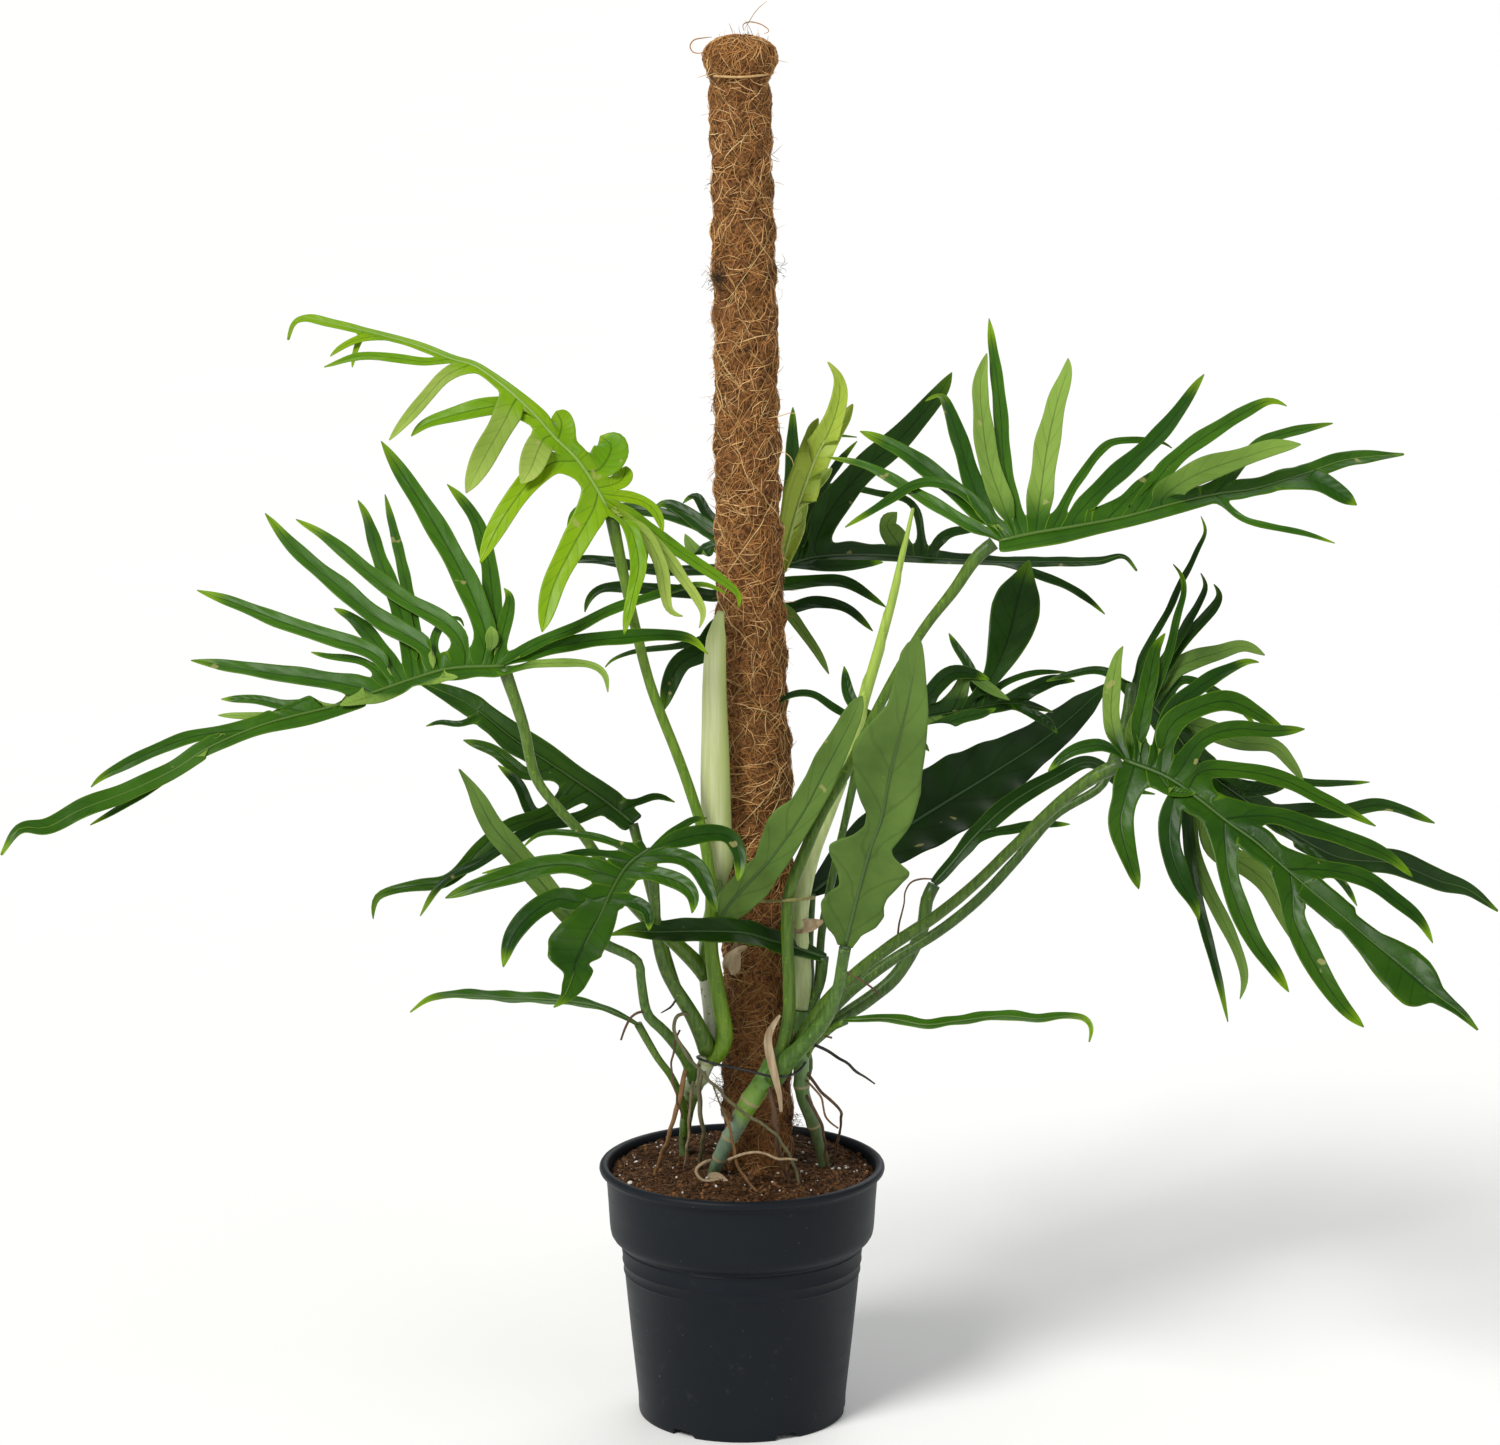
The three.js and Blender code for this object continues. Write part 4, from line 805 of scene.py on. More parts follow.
# Leaves: the stalk runs from the blade to the stem, the rib from the stalk to the tip, in view places
# with depth. A lobe is its width in pixels, how far its tip lies back in millimetres, whether its
# lower side shows, and the places that its middle line passes
LEAVES = {
    "leaf_far_left": {
        "look": "mid", "slot": "leaf_mid", "lean": 0.75, "rib_radius": 2.0,
        "radii": [5.2, 4.4, 4.0, 4.2, 4.6, 5.6, 7.5],
        "stalk": [
            (504, 668, -125), (513, 694, -124), (524, 728, -120), (536, 778, -112), (559, 809, -106),
            (582, 834, -100), (622, 892, -84), (650, 922, -64), (676, 944, -48), (697, 964, -40),
            (706, 975, -36),
        ],
        "widths": [26, 30, 29, 28, 26, 21, 17, 15, 16, 17, 13, 2],
        "rib": [
            (504, 666, -125), (448, 669, -131), (410, 680, -138), (375, 692, -148), (345, 703, -157),
            (262, 725, -182), (206, 749, -197), (179, 767, -205), (130, 791, -219), (80, 810, -233),
            (45, 828, -244), (20, 828, -252), (1, 855, -260),
        ],
        "lobes": [
            (23, 0, 0, (488, 645), (470, 590), (432, 520), (405, 478), (381, 441)),
            (17, 20, 0, (496, 650), (492, 591), (488, 559), (476, 520), (462, 500), (447, 484)),
            (14, 0, 0, (501, 640), (508, 612), (510, 596), (504, 588)),
            (15, -10, 1, (488, 662), (492, 645), (491, 626)),
            (20, 0, 0, (440, 662), (421, 643), (380, 620), (341, 588), (295, 549), (265, 513)),
            (18, 15, 0, (468, 655), (451, 627), (405, 600), (359, 565), (327, 538), (296, 519)),
            (17, 0, 0, (405, 675), (377, 655), (327, 637), (279, 621), (237, 604), (197, 590)),
            (19, 0, 0, (380, 689), (322, 680), (272, 673), (226, 666), (191, 660)),
            (8, 20, 0, (395, 680), (364, 662), (327, 656), (311, 652)),
            (17, 35, 0, (413, 668), (400, 610), (380, 560), (366, 515), (358, 500)),
            (12, 40, 0, (421, 668), (413, 620), (402, 565), (390, 515), (385, 494)),
            (16, 28, 0, (398, 675), (375, 642), (352, 618), (334, 608)),
            (9, 30, 0, (436, 668), (434, 640), (446, 621), (461, 618), (464, 626)),
            (26, -10, 0, (347, 703), (305, 712), (262, 722)),
            (10, 0, 0, (310, 712), (260, 700), (221, 699)),
            (8, 0, 1, (290, 718), (250, 716), (218, 715)),
            (13, -10, 0, (250, 730), (200, 735), (168, 745), (130, 762), (99, 779), (91, 787)),
            (8, 10, 0, (212, 746), (143, 794), (90, 825)),
            (16, -15, 1, (392, 686), (365, 698), (340, 705)),
            (8, -10, 1, (425, 676), (440, 677), (458, 677)),
            (12, -20, 0, (507, 664), (540, 642), (576, 628), (611, 610), (647, 598), (683, 587), (704, 584),
             (727, 593)),
            (16, 5, 0, (510, 664), (540, 651), (581, 642), (629, 637), (665, 635), (692, 639), (708, 654)),
            (9, 0, 1, (510, 664), (560, 663), (592, 665), (605, 674), (608, 692)),
        ],
    },
    "leaf_upper_left": {
        "look": "lime", "slot": "leaf_lime", "lean": 0.6, "rib_radius": 2.0,
        "radii": [5.4, 4.2, 4.2, 4.2, 4.4, 4.6, 5.6, 6.8, 6.8],
        "stalk": [
            (611, 514, -85), (620, 558, -82), (636, 630, -76), (651, 687, -70), (684, 773, -60),
            (703, 834, -56), (711, 890, -54), (711, 945, -53), (715, 977, -53), (722, 1015, -53),
            (725, 1034, -51), (721, 1050, -47), (712, 1060, -42),
        ],
        "widths": [22, 22, 17, 12, 9, 8, 7, 7, 8, 2],
        "rib": [
            (608, 509, -85), (594, 484, -81), (576, 458, -76), (555, 438, -70), (537, 417, -64),
            (514, 395, -56), (493, 378, -46), (473, 365, -38), (454, 360, -30), (418, 346, -14),
            (376, 334, 4), (326, 322, 26), (307, 318, 34), (294, 322, 39), (288, 340, 42),
        ],
        "lobes": [
            (8, -5, 0, (381, 338), (358, 339), (340, 348), (330, 356)),
            (6, -8, 0, (360, 332), (355, 352), (352, 367)),
            (9, -8, 0, (450, 360), (427, 362), (395, 358), (360, 356), (324, 367)),
            (14, -8, 1, (470, 367), (445, 376), (429, 394), (413, 412), (389, 440)),
            (20, -5, 0, (542, 424), (509, 406), (475, 410), (447, 417), (422, 426), (411, 436)),
            (26, -5, 1, (512, 401), (500, 429), (482, 461), (466, 493)),
            (26, -10, 1, (548, 432), (539, 447), (530, 470), (521, 484)),
            (24, -8, 0, (578, 461), (555, 461), (537, 474), (519, 495), (500, 523), (480, 563)),
            (26, -8, 0, (601, 497), (588, 520), (572, 548), (553, 587), (542, 632)),
            (16, -15, 0, (612, 512), (629, 525), (635, 541), (639, 567), (633, 594), (624, 634)),
            (22, 10, 0, (560, 440), (562, 424), (556, 411)),
            (38, 5, 0, (590, 482), (606, 462), (612, 445), (600, 436)),
            (20, 5, 0, (600, 490), (622, 480), (626, 466)),
            (12, 5, 0, (606, 503), (640, 500), (654, 509), (661, 523), (663, 532)),
            (13, 55, 0, (610, 510), (640, 522), (665, 541), (692, 560), (719, 578), (740, 596), (738, 608)),
            (12, 40, 1, (610, 512), (640, 530), (665, 553), (679, 573), (694, 594), (704, 614), (699, 628)),
            (14, 20, 1, (610, 514), (645, 535), (661, 566), (665, 591), (670, 612), (683, 616)),
            (10, 12, 1, (610, 513), (640, 535), (645, 552), (645, 567)),
        ],
    },
    "leaf_front_left": {
        "look": "rich", "slot": "leaf_deep", "lean": 0.7, "rib_radius": 1.8,
        "radii": [5.4, 4.2, 4.4, 5.2, 6.2, 8],
        "stalk": [
            (648, 851, -120), (652, 870, -114), (655, 900, -104), (657, 938, -88), (667, 973, -74),
            (692, 1015, -58), (702, 1035, -50), (708, 1050, -43),
        ],
        "widths": [24, 30, 30, 34, 46, 38, 2],
        "profile": [
            (0.42, 17, 14), (0.52, 24, 18), (0.60, 30, 20), (0.68, 32, 19), (0.72, 32, 20), (0.75, 29, 9),
            (0.79, 27, 18), (0.82, 8, 17), (0.88, 7, 14), (0.94, 3, 7), (1, 0.6, 0.6),
        ],
        "rib": [
            (648, 850, -120), (628, 865, -143), (613, 888, -169), (600, 916, -200), (587, 941, -226),
            (577, 964, -249), (565, 995, -276), (554, 1007, -287),
        ],
        "lobes": [
            (23, -10, 0, (607, 893), (579, 903), (559, 898), (533, 913), (513, 936), (503, 967)),
            (21, 0, 0, (620, 878), (572, 865), (539, 867), (503, 878), (470, 888), (445, 898)),
            (8, -15, 0, (628, 862), (590, 852), (564, 857), (482, 873)),
            (8, -10, 0, (640, 854), (600, 838), (539, 834), (523, 847)),
            (9, 10, 0, (648, 849), (677, 830), (694, 819), (707, 818)),
            (19, 0, 0, (648, 850), (673, 841), (707, 834), (729, 836), (740, 856), (738, 881)),
            (17, -10, 0, (640, 856), (679, 857), (697, 867), (709, 890), (717, 912)),
            (17, -15, 0, (624, 872), (658, 875), (684, 885), (694, 898), (692, 913)),
            (14, -10, 0, (608, 898), (635, 903), (648, 911), (649, 930)),
        ],
    },
    "leaf_strap_left": {
        "look": "pale", "slot": "leaf_pale", "lean": 0.5, "pale": 1, "rib_radius": 1.3, "level": 2,
        "radii": [4.4, 3.8, 4.2, 4.8, 5.5],
        "stalk": [
            (605, 944, -104), (638, 962, -90), (641, 980, -84), (648, 1015, -70), (663, 1030, -62),
            (676, 1045, -54), (686, 1059, -44), (694, 1080, -30),
        ],
        "widths": [10, 15, 18, 19, 18, 14, 1],
        "rib": [
            (606, 945, -104), (574, 921, -104), (554, 898, -104), (533, 873, -103), (513, 850, -102),
            (493, 827, -100), (472, 788, -97), (459, 769, -95),
        ],
    },
    "leaf_low_left": {
        "look": "mid", "slot": "leaf_mid", "lean": 3.0, "rib_radius": 1.6,
        "radii": [3.4, 3.0, 3.2, 4],
        "stalk": [
            (638, 1024, -64), (657, 1057, -56), (671, 1076, -46), (682, 1101, -28), (687, 1120, -4),
            (686, 1136, 22),
        ],
        "widths": [6, 12, 16, 18, 16, 11, 1],
        "rib": [
            (640, 1026, -64), (619, 1015, -70), (590, 1005, -80), (549, 1000, -93), (503, 998, -109),
            (462, 995, -122), (429, 999, -134), (410, 1012, -144),
        ],
    },
    "leaf_shaded_left": {
        "look": "rich", "slot": "leaf_deep", "lean": 0.6, "rib_radius": 1.6, "radii": [4.4, 3.4, 3.6, 4.5],
        "stalk": [
            (633, 824, 10), (645, 870, 6), (660, 930, 0), (680, 995, -12), (700, 1035, -26),
            (709, 1050, -36),
        ],
        "widths": [22, 27, 27, 25, 20, 2],
        "rib": [
            (633, 823, 10), (605, 801, 33), (560, 770, 71), (515, 740, 109), (470, 705, 147),
            (414, 679, 189),
        ],
        "lobes": [
            (7, 10, 0, (480, 716), (462, 724), (439, 722), (426, 726)),
            (14, 0, 0, (552, 765), (526, 775), (510, 763), (493, 750), (463, 740)),
            (14, 0, 0, (575, 781), (544, 815), (533, 814), (518, 783), (498, 765)),
            (8, 0, 0, (620, 812), (641, 801), (658, 796), (675, 802)),
            (16, 0, 0, (590, 792), (536, 819), (513, 824), (482, 847), (462, 870), (444, 883), (421, 885),
             (393, 890), (375, 898), (373, 919)),
            (13, 0, 0, (610, 806), (580, 818), (539, 827), (503, 847), (472, 867), (452, 875), (436, 890),
             (420, 916)),
        ],
    },
    "leaf_behind_pole": {
        "look": "deep", "slot": "leaf_deep", "lean": 0.75, "rib_radius": 1.8, "radii": [4.4, 3.4, 3.6, 4.5],
        "stalk": [
            (745, 600, 62), (742, 660, 56), (740, 760, 50), (738, 880, 46), (734, 980, 42), (722, 1035, 22),
            (711, 1052, -8), (708, 1060, -28),
        ],
        "widths": [24, 28, 24, 16, 2],
        "rib": [(745, 601, 62), (742, 560, 101), (738, 530, 140), (734, 505, 176)],
        "lobes": [
            (12, 0, 0, (738, 535), (711, 519), (694, 494), (683, 503)),
            (18, 0, 0, (739, 548), (711, 532), (690, 516), (679, 509), (665, 503), (654, 507)),
            (17, 15, 0, (740, 560), (711, 545), (702, 557), (692, 548), (685, 534)),
            (13, 25, 0, (740, 556), (690, 522), (640, 510), (585, 507), (574, 510), (567, 532)),
            (12, 10, 0, (742, 575), (715, 570), (683, 571), (647, 569), (615, 562), (586, 559), (553, 563)),
            (14, 0, 0, (744, 590), (715, 597), (700, 594), (647, 589), (620, 587), (599, 589), (588, 600),
             (585, 612)),
            (8, -5, 0, (745, 597), (700, 640), (632, 652), (610, 661), (605, 667)),
            (25, -10, 0, (745, 600), (720, 630), (703, 652), (681, 663), (668, 690), (664, 710)),
            (15, 30, 0, (745, 585), (782, 585), (817, 581), (848, 583), (871, 597), (886, 607)),
            (14, 30, 0, (745, 592), (784, 609), (817, 602), (848, 609), (873, 631)),
            (12, 20, 1, (745, 598), (784, 609), (803, 632), (819, 655), (829, 674)),
        ],
    },
    "leaf_behind_right": {
        "look": "deep", "slot": "leaf_deep", "lean": 0.7, "rib_radius": 1.7, "radii": [4.4, 3.4, 3.6, 4.5],
        "stalk": [
            (779, 567, 50), (774, 600, 54), (770, 700, 54), (772, 850, 54), (780, 960, 52), (800, 1035, 30),
            (808, 1064, -4), (804, 1080, -18),
        ],
        "widths": [24, 24, 20, 15, 11, 10, 9, 2],
        "rib": [
            (779, 567, 50), (817, 557, 70), (864, 555, 98), (912, 557, 128), (959, 560, 158),
            (1006, 562, 188), (1053, 562, 218), (1100, 561, 248), (1124, 556, 258), (1137, 571, 262),
        ],
        "lobes": [
            (30, 0, 0, (808, 560), (829, 512), (864, 470), (900, 439), (923, 413), (942, 390), (952, 372)),
            (16, 0, 0, (788, 562), (790, 520), (792, 460), (793, 407)),
            (12, 0, 0, (798, 560), (808, 512), (824, 484), (848, 451), (857, 441)),
            (6, 10, 0, (800, 558), (815, 480), (832, 437), (857, 437)),
            (24, -20, 1, (905, 556), (893, 536), (886, 525), (897, 512)),
            (8, -15, 0, (925, 556), (912, 503), (876, 493), (841, 486), (812, 489), (798, 501), (796, 512)),
            (12, 0, 0, (915, 556), (947, 534), (978, 529)),
            (10, 0, 0, (1006, 562), (1041, 576), (1065, 585), (1089, 600), (1105, 614)),
            (13, 0, 0, (790, 566), (841, 566), (883, 562)),
        ],
    },
    "leaf_unfurling": {
        "look": "fresh", "slot": "leaf_lime", "lean": 0.4, "rib_radius": 1.8, "fold": 0.75,
        "radii": [4.6, 3.6, 3.4, 3.4, 4.4],
        "stalk": [
            (780, 566, 36), (772, 600, 40), (757, 650, 42), (754, 760, 40), (756, 900, 40), (766, 980, 40),
            (791, 1035, 22), (799, 1050, -6), (800, 1062, -20),
        ],
        "widths": [12, 26, 30, 30, 26, 16, 12, 1],
        "rib": [
            (780, 570, 36), (790, 535, 34), (800, 500, 32), (815, 460, 30), (832, 425, 30), (840, 394, 32),
            (838, 376, 33), (828, 362, 34),
        ],
        "lobes": [
            (10, -4, 0, (822, 448), (842, 425), (848, 412), (853, 404)),
            (9, 6, 1, (805, 485), (824, 450), (838, 430)),
            (12, -8, 1, (795, 520), (812, 490), (832, 468)),
            (10, 8, 0, (812, 465), (810, 440), (818, 418)),
            (10, -6, 1, (788, 545), (800, 520), (806, 498)),
        ],
    },
    "leaf_upper_right": {
        "look": "mid", "slot": "leaf_mid", "lean": 0.85, "rib_radius": 2.0,
        "radii": [5.6, 4.0, 4.2, 4.6, 5, 5.2, 5.4],
        "stalk": [
            (994, 543, -70), (977, 557, -70), (954, 590, -68), (923, 630, -66), (885, 695, -62),
            (850, 765, -60), (821, 815, -58), (801, 861, -56), (790, 890, -55), (787, 920, -54),
            (789, 1010, -53), (783, 1044, -50), (776, 1062, -46),
        ],
        "widths": [26, 30, 26, 22, 20, 20, 16, 15, 2],
        "rib": [
            (999, 541, -70), (1030, 534, -66), (1077, 526, -55), (1124, 517, -40), (1161, 507, -24),
            (1192, 499, -9), (1222, 493, 6), (1253, 489, 21), (1284, 480, 36), (1304, 474, 49),
            (1345, 460, 74), (1404, 454, 109),
        ],
        "lobes": [
            (14, 0, 0, (993, 540), (971, 526), (935, 505), (900, 484), (864, 465), (828, 457)),
            (20, 10, 0, (996, 540), (963, 498), (935, 475), (902, 451), (874, 437), (860, 431)),
            (12, -10, 0, (992, 540), (968, 496), (935, 482), (912, 486), (888, 501), (845, 527)),
            (20, 0, 0, (999, 540), (989, 519), (973, 484), (961, 446), (949, 411), (940, 394), (925, 401)),
            (22, -6, 1, (1004, 540), (989, 465), (982, 418), (980, 383), (987, 353)),
            (15, 14, 0, (1012, 538), (1004, 465), (1001, 418), (996, 371), (992, 342), (989, 318)),
            (25, 0, 1, (1037, 533), (1041, 489), (1048, 442), (1058, 399), (1067, 371), (1068, 358)),
            (9, 10, 0, (1055, 530), (1070, 493), (1084, 472), (1100, 451), (1112, 442), (1140, 440),
             (1163, 442), (1172, 448)),
            (20, 0, 0, (1066, 528), (1100, 490), (1131, 462), (1157, 438), (1182, 407), (1198, 382),
             (1204, 374)),
            (17, 6, 0, (1135, 514), (1165, 470), (1186, 450), (1214, 431), (1243, 413), (1273, 400),
             (1287, 406)),
            (26, -8, 1, (1151, 509), (1171, 490), (1202, 472), (1243, 458), (1273, 448), (1301, 444)),
            (14, 8, 0, (1105, 520), (1137, 490), (1167, 469), (1175, 476)),
            (13, 20, 0, (1215, 494), (1263, 442), (1304, 429), (1333, 423)),
            (7, -6, 0, (1214, 497), (1243, 519), (1273, 527), (1304, 533), (1335, 543)),
            (23, -4, 0, (1290, 478), (1318, 482), (1340, 494), (1357, 505)),
        ],
    },
    "leaf_front_entire": {
        "look": "pale", "slot": "leaf_pale", "lean": 0.3, "pale": 1, "rib_radius": 1.5,
        "fold": 0.2, "radii": [5, 4.6, 5.6, 7, 10],
        "stalk": [
            (845, 948, -110), (838, 987, -94), (828, 1015, -80), (806, 1042, -66), (786, 1062, -54),
            (772, 1078, -47),
        ],
        "widths": [14, 36, 42, 50, 52, 44, 30, 14, 1], "wave": 0.05,
        "profile": [
            (0, 7, 7), (0.03, 11, 13), (0.05, 13, 21), (0.09, 25, 29), (0.13, 30, 33), (0.165, 27, 28),
            (0.195, 28, 19), (0.24, 36, 24), (0.29, 43, 37), (0.315, 42, 39), (0.33, 25, 34),
            (0.355, 19, 20), (0.39, 23, 13), (0.435, 28, 15), (0.48, 30, 23), (0.535, 32, 31),
            (0.6, 29, 38), (0.64, 28, 41), (0.67, 27, 39), (0.735, 24, 28), (0.79, 21, 18), (0.87, 14, 16),
            (0.95, 8, 14), (0.98, 5, 9), (1, 1, 1),
        ],
        "rib": [
            (845, 946, -110), (858, 894, -130), (870, 850, -148), (881, 820, -158), (889, 780, -172),
            (900, 735, -190), (910, 690, -206), (918, 637, -222),
        ],
    },
    "leaf_strap_middle": {
        "look": "pale", "slot": "leaf_pale", "lean": 0.4, "pale": 1, "rib_radius": 1.4,
        "radii": [4.4, 5, 5.5], "stalk": [(714, 926, -52), (707, 945, -42), (706, 968, -37)],
        "widths": [10, 26, 32, 34, 32, 28, 22, 12, 1], "wave": 0.05,
        "profile": [
            (0, 6, 8), (0.06, 13, 13), (0.14, 20, 15), (0.24, 22, 15), (0.30, 18, 12), (0.36, 17, 19),
            (0.44, 15, 25), (0.50, 14, 24), (0.56, 14, 16), (0.66, 15, 14), (0.74, 14, 15), (0.84, 11, 12),
            (0.92, 9, 10), (0.97, 6, 7), (1, 0.8, 0.8),
        ],
        "rib": [
            (714, 928, -52), (733, 900, -60), (768, 862, -66), (800, 818, -74), (825, 770, -80),
            (846, 730, -84), (862, 696, -88),
        ],
    },
    "leaf_across_front": {
        "look": "deep", "slot": "leaf_deep", "lean": 0.9, "rib_radius": 1.8, "level": 2,
        "radii": [4.2, 3.8, 4.6, 5],
        "stalk": [(824, 957, -34), (820, 985, -30), (806, 1012, -28), (801, 1030, -27)],
        "widths": [8, 20, 24, 24, 22, 18, 1],
        "rib": [
            (826, 958, -34), (791, 946, -40), (768, 940, -48), (745, 933, -66), (705, 931, -84),
            (657, 932, -102), (629, 931, -114), (609, 935, -120),
        ],
    },
    "leaf_dark_right": {
        "look": "dark", "slot": "leaf_deep", "lean": 0.6, "rib_radius": 2.4, "level": 2, "fold": 0.34,
        "wave": 0.07, "radii": [4.2, 3.8, 4, 5],
        "stalk": [(811, 893, 30), (809, 940, 20), (810, 990, 4), (806, 1034, -14), (803, 1054, -22)],
        "widths": [10, 36, 52, 62, 66, 64, 52, 38, 32, 22, 1],
        "rib": [
            (811, 893, 30), (870, 850, 67), (930, 812, 108), (990, 775, 150), (1050, 735, 193),
            (1110, 682, 242),
        ],
    },
    "leaf_middle_right": {
        "look": "deep", "slot": "leaf_deep", "lean": 0.6, "rib_radius": 1.6, "radii": [4.0, 3.2, 3.4, 4],
        "stalk": [
            (865, 726, 2), (852, 790, 0), (834, 870, 0), (822, 930, -4), (818, 985, -10), (810, 1022, -18),
            (804, 1044, -24),
        ],
        "widths": [20, 24, 24, 20, 12, 1],
        "rib": [
            (865, 725, 2), (900, 722, 14), (936, 716, 28), (975, 708, 46), (1010, 703, 62), (1040, 708, 76),
            (1053, 712, 82),
        ],
        "lobes": [
            ([20, 19, 24, 36, 46, 50, 44, 22, 2], 0, 0, (965, 710), (990, 680), (1008, 640), (1018, 600),
             (1029, 560)),
            (11, 0, 0, (978, 707), (970, 668), (957, 648), (949, 633)),
            (17, 0, 0, (915, 720), (936, 687), (952, 673), (975, 674), (990, 680)),
            (13, 0, 0, (925, 718), (941, 724), (964, 717), (982, 714), (996, 708)),
            (13, -10, 1, (955, 711), (968, 675), (987, 687), (1010, 700)),
            (7, 0, 0, (980, 707), (998, 687), (1033, 673), (1067, 672)),
            (15, -8, 0, (1005, 704), (1033, 689), (1055, 680), (1075, 681)),
            (10, -5, 0, (1020, 706), (1033, 714), (1048, 722), (1057, 733)),
            (8, -5, 0, (900, 722), (918, 738), (929, 751)),
            (12, 0, 0, (868, 725), (850, 698), (844, 666)),
            (8, -45, 0, (866, 726), (831, 706), (816, 695), (798, 693), (777, 702), (760, 718)),
        ],
    },
    "leaf_far_right": {
        "look": "rich", "slot": "leaf_mid", "lean": 0.6, "rib_radius": 2.2,
        "radii": [6.0, 4.4, 4.4, 5, 5.2, 5.4],
        "stalk": [
            (1122, 763, -112), (1094, 777, -108), (1060, 802, -102), (1010, 850, -92), (975, 884, -85),
            (936, 916, -76), (892, 945, -67), (847, 981, -58), (825, 1003, -53), (806, 1030, -46),
            (790, 1054, -42),
        ],
        "widths": [30, 34, 34, 34, 32, 30, 30, 28, 27, 26, 25, 23, 23, 26, 36, 46, 56, 58, 26, 7, 2],
        "profile": [
            (0.62, 12, 10), (0.70, 18, 11), (0.745, 24, 17), (0.78, 28, 21), (0.82, 30, 20), (0.85, 29, 16),
            (0.87, 22, 12), (0.882, 9, 9), (0.92, 6, 6), (0.96, 4, 4), (1, 0.8, 0.8),
        ],
        "rib": [
            (1124, 760, -112), (1167, 777, -125), (1200, 800, -138), (1228, 822, -149), (1256, 842, -160),
            (1284, 867, -173), (1313, 892, -186), (1341, 915, -198), (1363, 934, -208), (1397, 962, -224),
            (1430, 990, -240), (1461, 1013, -254), (1478, 1030, -262),
        ],
        "lobes": [
            (17, 0, 1, (1126, 758), (1116, 740), (1111, 717), (1113, 682), (1118, 656), (1123, 646)),
            (11, 7, 1, (1130, 760), (1131, 732), (1138, 712), (1145, 692)),
            (18, 0, 0, (1136, 764), (1140, 725), (1149, 682), (1156, 648), (1165, 633)),
            (9, 12, 0, (1142, 766), (1140, 732), (1168, 656), (1178, 613), (1184, 593), (1182, 575),
             (1173, 564)),
            (18, 0, 0, (1152, 770), (1175, 708), (1201, 686), (1227, 670), (1249, 661), (1259, 662)),
            (22, -5, 0, (1156, 772), (1172, 724), (1200, 707), (1228, 701), (1256, 713), (1288, 735)),
            (17, -5, 0, (1175, 782), (1200, 741), (1234, 729), (1273, 731), (1305, 729)),
            (13, 0, 0, (1124, 760), (1109, 746), (1089, 746), (1068, 753), (1048, 771)),
            (10, -10, 0, (1156, 773), (1172, 791), (1196, 793)),
            (24, 0, 0, (1136, 766), (1124, 802), (1120, 822), (1127, 853), (1139, 889)),
            (17, 0, 0, (1166, 777), (1200, 771), (1242, 771), (1284, 780), (1318, 797), (1346, 811),
             (1376, 826)),
            (18, 0, 0, (1225, 819), (1273, 816), (1313, 828), (1355, 842), (1391, 858), (1413, 877)),
            (17, 0, 0, (1288, 868), (1327, 870), (1363, 878), (1397, 901), (1422, 923), (1433, 943)),
            (22, 0, 0, (1294, 876), (1293, 915), (1304, 943), (1327, 985), (1346, 1010), (1364, 1027)),
            (20, 0, 0, (1226, 820), (1228, 873), (1240, 912), (1256, 945), (1273, 968), (1289, 992)),
            (22, 0, 0, (1174, 784), (1169, 839), (1181, 881), (1195, 906), (1199, 920)),
        ],
    },
    "leaf_back_right": {
        "look": "deep", "slot": "leaf_deep", "lean": 0.7, "rib_radius": 1.8,
        "radii": [5.0, 3.6, 4, 4.4, 4.6, 5],
        "stalk": [
            (1132, 684, -20), (1126, 720, -28), (1112, 762, -36), (1101, 786, -40), (1055, 815, -46),
            (1014, 862, -50), (978, 900, -48), (938, 932, -42), (892, 960, -37), (850, 992, -33),
            (826, 1016, -30), (808, 1034, -28),
        ],
        "widths": [24, 28, 28, 26, 24, 22, 23, 24, 16, 2],
        "rib": [
            (1132, 683, -20), (1165, 720, -6), (1200, 765, 8), (1245, 800, 26), (1300, 838, 49),
            (1341, 858, 67), (1397, 864, 90), (1439, 881, 109), (1467, 889, 123), (1498, 911, 136),
        ],
        "lobes": [
            (7, 0, 0, (1133, 682), (1144, 653), (1158, 629), (1170, 608), (1180, 584), (1189, 568),
             (1199, 546), (1206, 531), (1201, 516)),
            (9, 0, 0, (1142, 692), (1175, 644), (1189, 620), (1199, 603), (1206, 585), (1201, 573)),
            (13, 0, 0, (1148, 700), (1180, 644), (1201, 622), (1215, 606), (1220, 594), (1214, 584)),
            (20, 0, 1, (1154, 708), (1172, 672), (1192, 661), (1218, 653), (1244, 646), (1265, 655)),
            (10, -8, 0, (1158, 712), (1170, 690), (1184, 679), (1217, 693), (1240, 707), (1256, 727)),
            (9, 0, 0, (1134, 684), (1113, 674), (1097, 670), (1072, 674), (1046, 681)),
            (20, -6, 1, (1166, 720), (1200, 727), (1240, 743), (1273, 746), (1290, 763), (1304, 782)),
            (8, 0, 0, (1235, 792), (1290, 780), (1313, 783), (1341, 783), (1370, 782)),
            (14, 0, 0, (1215, 778), (1242, 791), (1284, 788)),
            (16, 0, 0, (1275, 822), (1301, 811), (1341, 812), (1383, 805), (1435, 823)),
            (9, -6, 0, (1285, 830), (1324, 864), (1345, 885), (1357, 906)),
            (26, 0, 1, (1200, 766), (1210, 810), (1217, 850), (1245, 865), (1270, 887), (1284, 915),
             (1296, 945)),
            (16, 6, 1, (1190, 752), (1192, 850), (1206, 887), (1223, 920), (1240, 957), (1245, 982),
